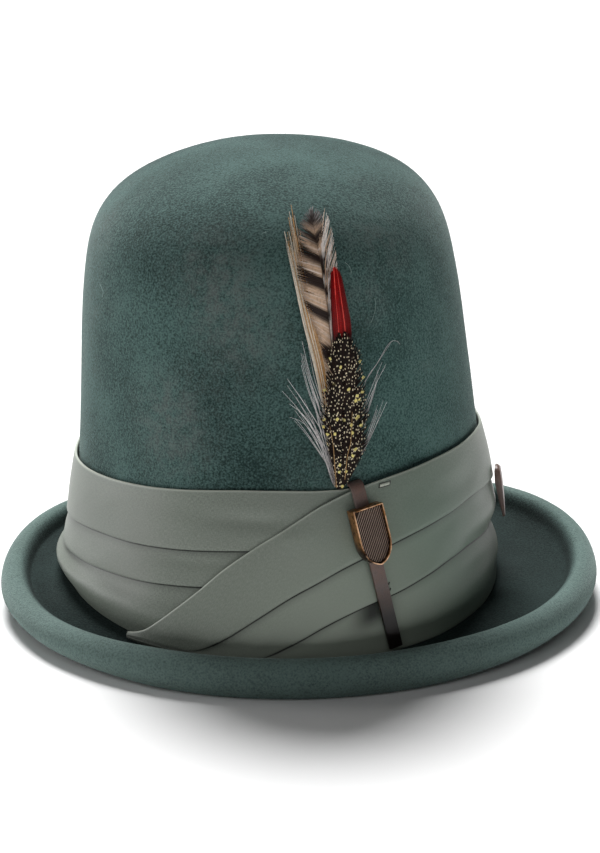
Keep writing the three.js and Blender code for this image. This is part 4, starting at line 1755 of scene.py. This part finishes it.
@dataclass
class BarredFeather(Feather):
    """The tall barred feather: a shaft, a barred vane to one side and a white-streaked one to the other.

    Attributes:
        shaft: The shaft's path, height first.
        left_rim: The barred vane's outer edge.
        right_rim: The other vane's.
        right_cap: The edge of the dark cap of barbs at its tip.
        bars: The dark bars: their heights at the shaft and at the left rim, upper and lower.
        wedges: The dark wedges along the shaft's other side: their upper and lower heights.
        counts: How many barbs the barred vane, the cap and the other vane have.
    """

    shaft: Edge = (
        (78, 17.4), (100, 16.6), (131.7, 14.4), (148.3, 13), (157.2, 11.7), (166.7, 10.4),
        (173.4, 9.1), (182, 7.3),
    )
    left_rim: Edge = (
        (80, 15.8), (116, 13), (131.9, 10.6), (141.7, 7.4), (152.3, 3.5), (162.7, 1.4),
        (172.4, 2.2), (179.4, 2.9), (181.8, 4.7), (183.6, 7),
    )
    right_rim: Edge = (
        (80, 18.4), (116, 18.2), (143.2, 15.6), (155.2, 16.4), (163.3, 17.2), (174.2, 15.8),
        (180, 14.2), (182, 13.2), (184, 12.2),
    )
    right_cap: Edge = ((170, 11.6), (176.0, 12.4), (180.0, 12.2), (182.4, 10.4), (184.2, 7.6))
    bars: tuple[Quad, ...] = (
        (190, 177.6, 190, 179.2), (175.2, 171.4, 179.6, 176.2), (168.2, 164.2, 173.6, 169.2),
        (159.8, 154.4, 166.2, 159.4), (146.8, 142, 152.8, 147.4), (133, 126, 135.5, 128),
    )
    wedges: Edge = ((179.0, 175.0), (169.0, 159.0), (157.8, 151.0), (149.8, 142.8), (136, 128))
    counts: tuple[int, int, int] = (420, 60, 260)

    def bar_shade(self, part: float, height: float) -> float:
        """Works out how dark the barred vane is.

        Args:
            part: The part of the way out from the shaft.
            height: The height.

        Returns:
            The shade, from 0 to 1.
        """
        dark = 0.32 * ease((part - 0.35) / 0.6)
        for top, low, rim_top, rim_low in self.bars:
            upper, lower = blend(top, rim_top, part), blend(low, rim_low, part)
            dark = max(dark, ease((upper - height) / 2.0 + 0.45) * ease((height - lower) / 3.4 + 0.55))
        return dark

    def wedge_shade(self, part: float, height: float) -> float:
        """Works out how dark the streaked vane is.

        Args:
            part: The part of the way out from the shaft.
            height: The height.

        Returns:
            The shade, from 0 to 1.
        """
        dark = 0.0
        for top, low in self.wedges:
            inside = ease((top - height) / 2 + 0.3) * ease((height - low) / 2 + 0.3)
            dark = max(dark, inside * ease(1.9 - part / 0.3))
        return dark

    def build(self) -> Piece:
        """Builds both vanes, the cap and the shaft.

        Returns:
            The feather.
        """
        left, cap, right = self.counts
        for i in range(left):
            root = blend(84, 182, i / (left - 1))
            rise = blend(3.2, 5.4, ease((170 - root) / 40)) * self.vary(0.85, 1.15)
            high = min(root + rise, 183.8)
            tint = self.draw.random() * 0.55
            self.vane_barb(root, high, self.left_rim, self.bar_shade, tint, 0.62)
        for i in range(cap):
            root = blend(170, 181.6, i / (cap - 1))
            high = min(root + self.vary(3, 6), 183.9)
            self.vane_barb(root, high, self.right_cap, self.bar_shade, 0.1, 0.6)
        for i in range(right):
            root = blend(84, 170, i / (right - 1))
            high = min(root + self.vary(11, 20), 180.5 + self.vary(-4.5, 2.5))
            pale = 0.6 + 0.4 * self.draw.random() if self.draw.random() < 0.75 else 0.1
            self.vane_barb(root, high, self.right_rim, self.wedge_shade, pale, 0.4, 0.4)
        spine = [(x, z) for z, x in self.shaft]
        self.strand(
            spine, 0.4, 40, lambda _, z: 0.6 + 0.4 * self.bar_shade(0, z), 0.1, lambda _: 0.8, 0.35, 0.5
        )
        return self.bundle.build("barred_feather_vanes")

    def vane_barb(
        self, root: float, high: float, rim: Edge, shade: Shading, tint: float,
        width: float, ragged: float = 0.12,
    ) -> None:
        """Adds one barb from the shaft to a vane's rim.

        Args:
            root: The height at which it leaves the shaft.
            high: The height at which it ends.
            rim: The vane's rim.
            shade: Its shade, by the part along it and its height.
            tint: Its tint.
            width: Its width.
            ragged: How often a barb ends short of the rim.
        """
        out = 1.0 if self.draw.random() > ragged else self.vary(0.75 - ragged, 0.95)
        end = (blend(read_row(self.shaft, high, 1), read_row(rim, high, 1), out), high)
        start = (read_row(self.shaft, root, 1), root)
        bow = 0.35 * (end[1] - start[1])
        middle = (blend(start[0], end[0], 0.55), blend(start[1], end[1], 0.5) + bow * 0.2)
        lift = self.vary(0, 0.3)
        wave = self.vary(-0.4, 0.4)
        self.strand(
            (start, middle, end), width * self.vary(0.85, 1.1), 7,
            lambda part, z: min(1, max(0, shade(part, z + wave))), tint,
            lambda part: lift + 0.35 * math.sin(math.pi * min(part, 1) * 0.9), 0.25, 0.22,
        )


@dataclass
class TanPlume(Feather):
    """Loose tan hairs beside the barred feather, open at their tips.

    Attributes:
        left_edge: The bundle's outer edge, height first.
        right_edge: Its inner edge.
        count: How many hairs there are.
    """

    left_edge: Edge = (
        (76, 15), (83, 14.4), (95.4, 12.1), (107.8, 10.7), (116.9, 9.2), (124.3, 7.7),
        (131.4, 6.3), (139.8, 4), (148.1, 2.4), (157, 0.5), (166.1, -1), (173.5, -2.9), (181.5, -4.3),
    )
    right_edge: Edge = (
        (76, 16.2), (95.1, 15.6), (115.6, 14.2), (123.8, 13.4), (135.6, 11.4), (150, 8),
        (165, 5.2), (176, 3.6), (184.5, 1.6),
    )
    count: int = 170

    def build(self) -> Piece:
        """Builds the hairs.

        Returns:
            The plume.
        """
        for i in range(self.count):
            part = (i + self.draw.random()) / self.count
            tall = self.draw.random()
            if tall < 0.4:
                reach = (169, 178.5) if part < 0.4 or part > 0.8 else (174, 185)
            else:
                reach = (150, 174) if tall < 0.7 else (128, 156)
            high = self.vary(*reach)
            path = []
            for k in range(7):
                across = part if k < 6 else part - 0.03
                path.append(self.between(self.left_edge, self.right_edge, across, blend(77, high, k / 6)))
            # Some hairs are dark and lie low: painted shade, standing in for the shadowed gaps between the
            # hairs.
            dark = self.draw.random() < 0.42
            white = self.draw.random() < (0.7 if part < 0.35 else 0.35)
            shade = 0.95 if dark else self.vary(0, 0.2)
            tint = self.vary(0.6, 1.0) if white else self.vary(0, 0.4)
            lift = self.vary(0, 0.7) if dark else self.vary(0.2, 1.3)
            width = self.vary(0.2, 0.34)
            self.strand(path, width, 22, lambda *_: shade, tint, lambda _: lift, 0.5, 0.5)
        return self.bundle.build("tan_plume_hairs")


@dataclass
class HackleFan(Feather):
    """Grey wisps that spread out beside the speckled feather.

    Attributes:
        wisps: Groups of hairs: where they end, where their middles pass and where they start (across and
            up), how many there are, how far they scatter, and their tint.
        fullness: How many hairs are made for each one in a group.
        hook: The path of one long hair that bends over at its end.
    """

    wisps: tuple[tuple[float, ...], ...] = (
        # tip x, tip z, middle x, middle z, root x, root z, count, scatter, tint
        (3.3, 136, 6.3, 122, 11.1, 106.8, 4, 0.6, 0.6),
        (2.6, 130.5, 5.6, 119, 10.4, 104.5, 5, 0.8, 0.4),
        (2.7, 127.6, 5.4, 116, 10, 102.5, 3, 0.6, 0.8),
        (-2.9, 120, 3.1, 111.2, 11.3, 97, 4, 0.5, 1),
        (-3.3, 117.8, 2.4, 109.4, 11.6, 94, 4, 0.6, 0.9),
        (-3.4, 110.7, 3.4, 104.9, 12.4, 90, 3, 0.6, 1),
        (-0.8, 110, 5.2, 102, 12.6, 88, 4, 0.6, 0.8),
        (1.4, 109.9, 6.6, 100.5, 13, 86.5, 4, 0.7, 0.7),
        (-0.4, 107.1, 4.4, 99.8, 13, 85.4, 3, 0.4, 1),
        (4.6, 108, 8.4, 99, 13.6, 84, 5, 1.3, 0.6),
        (7.4, 108.5, 9.6, 98, 14, 82, 5, 1.4, 0.5),
        (8.6, 104, 10.6, 95, 14.2, 80, 5, 1.2, 0.5),
        (10.2, 99, 11.8, 91, 14.6, 78.5, 6, 1, 0.4),
        (38.3, 130.6, 33, 124, 27.2, 116, 1, 0.1, 1),
        (35.5, 123, 31.6, 115.8, 27, 106, 3, 0.5, 0.8),
        (36.1, 122, 32.6, 116.6, 27.8, 105, 2, 0.4, 0.9),
        (33.6, 118.1, 31.4, 111.2, 27.4, 102, 4, 0.7, 0.5),
        (33.9, 107.9, 31.5, 101.6, 28, 94, 3, 0.5, 0.7),
        (32.6, 104.6, 30.4, 99, 27, 92, 4, 0.7, 0.5),
        (31.2, 112, 29.8, 105, 26.4, 95, 4, 1.3, 0.5),
        (30.8, 106, 29, 98, 24.4, 88, 4, 1.2, 0.5),
    )
    fullness: float = 0.6
    hook: Edge = ((27.4, 117.2), (32.4, 123.5), (36.2, 129), (38.3, 130.8), (40.4, 130.4), (41.8, 128.8))

    def build(self) -> Piece:
        """Builds the wisps.

        Returns:
            The fan.
        """
        for tip_x, tip_z, mid_x, mid_z, root_x, root_z, count, scatter, tint in self.wisps:
            for _ in range(max(1, round(count * self.fullness))):
                off = self.draw.gauss(0, scatter * 0.8)
                rise = self.draw.gauss(0, scatter * 1.5)
                path = (
                    (blend(root_x, 16.6, 0.6), blend(root_z, 79, 0.6)),
                    (root_x + off * 0.5, root_z + rise * 0.5),
                    (mid_x + off * 1.2, mid_z + rise * 1.2),
                    (tip_x + off * 1.9, tip_z + rise * 2.2),
                )
                shade = self.vary(0, 0.3)
                lift = self.vary(0, 0.8)
                colour = min(1, max(0, tint + self.vary(0, 0.5)))
                width = self.vary(0.2, 0.28)
                self.strand(
                    path, width, 16, lambda part, _: max(shade, 0.9 * ease(1.3 - part / 0.5)), colour,
                    lambda part: lift + part * part * 1.2, 0.4, 0.7,
                )
        self.strand(self.hook, 0.22, 18, lambda *_: 0.1, 0.6, lambda part: 0.5 + part, 0.4, 0.8)
        return self.bundle.build("grey_hackle_wisps")


@dataclass
class RedFeather(Feather):
    """The narrow red feather: glossy barbs that run along it.

    Attributes:
        left_edge: Its left edge, height first.
        right_edge: Its right edge.
        count: How many barbs lie side by side.
        streaks: Which of them are light: painted highlights standing in for the feather's gloss.
    """

    left_edge: Edge = ((80, 15.8), (108, 15), (135.5, 14.9), (147.8, 14.5), (157.8, 14.3), (163, 14.7))
    right_edge: Edge = ((80, 18.6), (108, 21), (138.7, 22.3), (147.8, 21), (157.2, 19.3), (163, 17.8))
    count: int = 34
    streaks: tuple[int, ...] = (10, 11, 22)

    def build(self) -> Piece:
        """Builds the barbs.

        Returns:
            The feather.
        """
        for i in range(self.count * 2):
            part = (i % self.count + self.vary(0.2, 0.8)) / self.count
            short = self.vary(0, 2) * abs(part - 0.42) * 2
            high = 163.2 - short - 1.5 * (part - 0.42) ** 2 * 4
            low = 104 if i < self.count else self.vary(120, 140)
            heights = [blend(low, high, k / 5) for k in range(6)]
            path = [self.between(self.left_edge, self.right_edge, part, height) for height in heights]
            dark = 0.55 * ease(abs(part - 0.45) * 2.4 - 0.3) + (0.35 if self.draw.random() < 0.25 else 0)
            # Light barbs: painted highlights for the gloss.
            painted_glint = i % self.count in self.streaks
            dark = 0 if painted_glint else dark
            tint = 1.0 if painted_glint else self.vary(0, 0.3)
            bulge = 0.9 * math.sin(math.pi * part)
            self.strand(
                path, 0.42, 24, lambda _, z: min(1, dark + 0.7 * ease((141 - z) / 9)), tint,
                lambda part: bulge * (1 - 0.5 * part) + 0.1 * self.count / (i + 8), 0.35, 0.5,
            )
        return self.bundle.build("red_feather_barbs")


@dataclass
class SpeckledFeather(Feather):
    """The dark speckled feather in front: barbs that lean out to both sides of its shaft.

    Attributes:
        shaft: The shaft's path, height first.
        left_edge: Its left edge.
        right_edge: Its right edge.
        straw: A pale loose straw that lies over it.
        left_straw: A second one, along its left edge.
        count: How many barbs lean out to each side.
    """

    shaft: Edge = ((76, 16.8), (90, 17.8), (106, 18.6), (120, 18.8), (137, 18.6))
    left_edge: Edge = (
        (76, 16), (82.1, 15.1), (90.4, 13), (98.7, 11.1), (105.4, 9.4), (111.5, 9.8),
        (116.3, 10.5), (121.7, 12), (128.6, 12.2), (134.3, 14.7), (138, 17.4),
    )
    right_edge: Edge = (
        (76, 17.4), (79.5, 19.5), (83.2, 22.4), (87.6, 25.7), (94.5, 28.4), (100, 29.3),
        (106.7, 28.6), (117.8, 27.4), (123.9, 26.7), (129.8, 25.5), (134.9, 23), (138, 19.8),
    )
    straw: Edge = ((18.9, 79.5), (20.0, 88.7), (21.3, 93.4), (21.8, 99.1), (22.2, 106))
    left_straw: Edge = ((15.6, 76.5), (14.9, 86.0), (14.4, 94.0), (13.2, 101.5))
    count: int = 420

    def build(self) -> Piece:
        """Builds the vane.

        Returns:
            The feather.
        """
        for edge, side in ((self.left_edge, -1), (self.right_edge, 1)):
            for i in range(self.count):
                root = blend(76, 134.5, ((i * 7) % self.count) / (self.count - 1))
                high = min(root + self.vary(5, 11), 137.6)
                reach = self.vary(0.35, 1.03)
                start = (read_row(self.shaft, root, 1) + side * self.vary(0, 0.8), root)
                end = (blend(start[0], read_row(edge, high, 1), reach), high + self.vary(-0.5, 0.5))
                middle = (blend(start[0], end[0], 0.5), blend(start[1], end[1], 0.42))
                lift = self.vary(0, 0.9)
                path, width, tint = (start, middle, end), self.vary(0.7, 1.1), self.draw.random()
                self.strand(
                    path, width, 6, lambda *_: 0, tint, lambda part: lift + math.cos(part * 1.5), 0.3, 0.25
                )
        return self.bundle.build("speckled_feather_vane")

    def build_straw(self) -> Piece:
        """Builds the pale straws over it.

        Returns:
            The straws.
        """
        self.bundle = Fibres()
        self.strand(self.straw, 0.3, 16, lambda *_: 0.1, 0.2, lambda _: 2.2, 0.5, 0.7)
        self.strand(self.left_straw, 0.3, 16, lambda *_: 0.15, 0.2, lambda _: 2.0, 0.5, 0.7)
        return self.bundle.build("pale_quill_straws")


@dataclass
class SashThreads:
    """The tack at the sash's upper edge and the few stitches of the seam below it. Sizes in millimetres.

    Attributes:
        sash: The sash that they lie on.
        tack: The tack's ends, across and up.
        tack_width: Its width.
        tack_threads: How many threads it has.
        stitches: Where dark stitches show.
    """

    sash: Piece
    tack: Quad = (32.8, 75.8, 36.7, 76.1)
    tack_width: float = 1.15
    tack_threads: int = 15
    stitches: Edge = ((35.9, 37.0), (36.3, 34.6))

    def __post_init__(self) -> None:
        """Builds the tree that rays are cast into."""
        self.tree = Bench.tree_of(self.sash)

    def seat(self, x: float, z: float, stand: float) -> Seat:
        """Finds a place on the sash as it is seen from the front."""
        hit, normal, _, _ = self.tree.ray_cast(Vector((x * MM, RAY_START, z * MM)), FORWARDS)
        return hit + normal * stand * MM, normal

    def build_tack(self) -> Piece:
        """Builds the tack of close threads.

        Returns:
            The tack.
        """
        bundle = Fibres()
        x1, z1, x2, z2 = self.tack
        for i in range(self.tack_threads):
            along = (i + 0.5) / self.tack_threads
            x, z = blend(x1, x2, along), blend(z1, z2, along)

            def seat(part: float) -> Seat:
                """Finds a place along one thread, which rises in its middle."""
                up = (part - 0.5) * self.tack_width
                return self.seat(x + up * 0.18, z + up, 0.05 + 0.3 * math.sin(math.pi * part))

            bundle.lay(seat, 4, 0.3 * MM, 0.5, 0, 0.8)
        return bundle.build("thread_tack")

    def build_stitches(self) -> Piece:
        """Builds the dark outline of the tack and the seam's stitches.

        Returns:
            The stitches.
        """
        bundle = Fibres()
        x1, z1, x2, z2 = self.tack
        high = self.tack_width / 2 + 0.2
        corners = ((x1 - 0.4, z1 - high), (x2 + 0.1, z2 - high), (x2 + 0.5, z2 + high), (x1 - 0.1, z1 + high))
        for start, end in zip(corners, corners[1:] + corners[:1]):
            self.sew(bundle, start, end, 0.3)
        for x, z in self.stitches:
            self.sew(bundle, (x - 0.25, z - 0.55), (x + 0.25, z + 0.55), 0.6)
        return bundle.build("dark_stitches")

    def sew(self, bundle: Fibres, start: Pair, end: Pair, width: float) -> None:
        """Lays one short thread.

        Args:
            bundle: What it is added to.
            start: Where it starts, across and up.
            end: Where it ends.
            width: Its width.
        """

        def seat(part: float) -> Seat:
            """Finds a place along it."""
            return self.seat(blend(start[0], end[0], part), blend(start[1], end[1], part), 0.1)

        bundle.lay(seat, 4, width * MM, 0.5, 0.9, 0)


@dataclass
class Studio:
    """The pale floor, the soft light and the camera.

    Attributes:
        elevation: How high the camera stands, in degrees.
        roll: How far it leans, in degrees.
        distance: How far it is from its target.
        target: What it looks at.
        lens: Its focal length, in millimetres on a 36 mm sensor.
        surroundings: How bright the white surroundings are.
        lamps: Each lamp's name, where it shines from, its spread in degrees and its power.
    """

    elevation: float = 16.0
    roll: float = 0.955
    distance: float = 1.5
    target: Vector = field(default_factory=lambda: Vector((1.478 * MM, 0, 74.722 * MM)))
    lens: float = 149.7
    surroundings: float = 0.03
    lamps: tuple[tuple[str, Place, float, float], ...] = (
        ("high_behind", (-0.12, 0.78, 1.0), 27, 5.5),
        ("left", (-1.0, 0.35, 0.08), 40, 1.8),
        ("front", (-0.15, -1.0, 0.8), 60, 0.36),
    )

    def build_camera(self) -> None:
        """Sets up the camera."""
        data = bpy.data.cameras.new("camera")
        data.lens = self.lens
        data.sensor_width = 36
        data.clip_start, data.clip_end = 0.05, 100
        camera = bpy.data.objects.new("camera", data)
        bpy.context.scene.collection.objects.link(camera)
        rise, lean = math.radians(self.elevation), math.radians(self.roll)
        back = Vector((0, -math.cos(rise), math.sin(rise)))
        level = Vector((1, 0, 0))
        upright = back.cross(level)
        right = level * math.cos(lean) - upright * math.sin(lean)
        up = level * math.sin(lean) + upright * math.cos(lean)
        turn = Matrix((right, up, back)).transposed().to_4x4()
        camera.matrix_world = Matrix.Translation(self.target + back * self.distance) @ turn
        bpy.context.scene.camera = camera

    def build_light(self) -> None:
        """Sets up the white surroundings and the soft lamps, which shine from far away."""
        world = bpy.data.worlds.new("white_surroundings")
        world.use_nodes = True
        world.node_tree.nodes["Background"].inputs["Color"].default_value = (1, 1, 1, 1)
        world.node_tree.nodes["Background"].inputs["Strength"].default_value = self.surroundings
        bpy.context.scene.world = world
        bpy.context.scene.view_settings.view_transform = "Standard"
        for name, direction, spread, power in self.lamps:
            lamp = bpy.data.lights.new(name, "SUN")
            lamp.angle, lamp.energy = math.radians(spread), power
            stand = bpy.data.objects.new(name, lamp)
            bpy.context.scene.collection.objects.link(stand)
            stand.rotation_mode = "QUATERNION"
            stand.rotation_quaternion = Vector(direction).to_track_quat("Z", "Y")

    def build_floor(self) -> None:
        """Lays the floor."""
        Bench.clear()
        bpy.ops.mesh.primitive_plane_add(size=30, location=(0, 0, 0))
        floor = bpy.context.object
        floor.name = "floor"
        floor.data.materials.append(FloorFinish().build())


def main(nodes: dict[str, Piece]) -> None:
    """Builds the hat's looks in order.

    Args:
        nodes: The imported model's nodes by name.
    """
    logging.basicConfig(level=logging.INFO, format="%(name)s: %(message)s")
    studio = Studio()
    studio.build_camera()
    body = FeltBody()
    felt = body.build(nodes["felt_body"])
    surface = CrownSurface(felt)
    felt_finish = FeltFinish().build()
    Bench.dress(felt, felt_finish, Slot.FELT, "felt_body")
    nap = Nap()
    fibres = nap.build(surface)
    body.mark_brim(fibres)
    Bench.dress(fibres, felt_finish, Slot.FELT)
    lint = BarbFinish("pale_lint", srgb(120, 146, 140), srgb(60, 80, 76), srgb(150, 172, 166))
    Bench.dress(nap.build_lint(surface), lint.build(), Slot.FELT)

    sash = Sash().build(surface)
    Bench.dress(sash, SatinFinish().build(), Slot.SATIN, "pleated_sash")

    leather = LeatherFinish().build()
    for node in ("front_strap", "side_tab"):
        Bench.dress(LeatherStrip(f"leather_{node}", node).build(nodes), leather, Slot.LEATHER, node)

    slide = ShieldSlide()
    place = slide.place(nodes["shield_inlay"])
    wall_finish = CopperFinish().build()
    # The plate's rib tops come out light: partly wear, partly a painted highlight.
    ribbed = (srgb(70, 56, 48), srgb(26, 19, 16), srgb(150, 132, 120))
    plate_finish = CopperFinish("ribbed_copper", *ribbed, 0.8, (0, 0.1)).build()
    Bench.dress(slide.build_wall(place), wall_finish, Slot.COPPER, "shield_frame")
    Bench.dress(slide.build_plate(place), plate_finish, Slot.COPPER, "shield_inlay")

    speckled = SpeckledFeather(surface, 5.0, 25)
    tan = BarbFinish("tan_barbs", srgb(216, 164, 100), srgb(34, 20, 12), srgb(250, 240, 222))
    barred = BarbFinish("barred_barbs", srgb(208, 176, 148), srgb(34, 17, 9), srgb(248, 240, 234))
    grey = BarbFinish("grey_barbs", srgb(208, 196, 192), srgb(70, 38, 38), srgb(248, 246, 246))
    # Its second colour is the painted highlight of the light barbs.
    red = BarbFinish("red_barbs", srgb(152, 0, 3), srgb(32, 0, 2), srgb(255, 100, 90), 0.32)
    mount = (
        (TanPlume(surface, 0.9, 21), tan, Slot.TAN, "tan_plume"),
        (BarredFeather(surface, 2.1, 22), barred, Slot.BARRED, "barred_feather"),
        (HackleFan(surface, 3.4, 23), grey, Slot.GREY, "hackle_fan"),
        (RedFeather(surface, 4.2, 24), red, Slot.RED, "red_feather"),
        (speckled, SpeckledFinish(), Slot.SPECKLED, "speckled_feather"),
    )
    for feather, finish, slot, node in mount:
        Bench.dress(feather.build(), finish.build(), slot, node)
    straw = BarbFinish("straw_quill", srgb(188, 150, 100), srgb(80, 50, 30), srgb(220, 200, 160))
    Bench.dress(speckled.build_straw(), straw.build(), Slot.SPECKLED)

    threads = SashThreads(sash)
    thread = BarbFinish("sash_thread", srgb(168, 176, 160), srgb(34, 34, 30), srgb(214, 220, 208)).build()
    for piece in (threads.build_tack(), threads.build_stitches()):
        Bench.dress(piece, thread, Slot.SATIN)

    studio.build_light()
    studio.build_floor()


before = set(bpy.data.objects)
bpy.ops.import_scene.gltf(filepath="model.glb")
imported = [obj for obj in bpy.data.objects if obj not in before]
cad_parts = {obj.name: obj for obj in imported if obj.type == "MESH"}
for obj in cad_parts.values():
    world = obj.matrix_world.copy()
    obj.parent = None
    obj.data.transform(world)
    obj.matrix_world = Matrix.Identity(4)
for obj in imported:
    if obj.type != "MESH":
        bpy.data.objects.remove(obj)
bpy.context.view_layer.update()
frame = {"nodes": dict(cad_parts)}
if __name__ == "__main__":
    main(frame["nodes"])
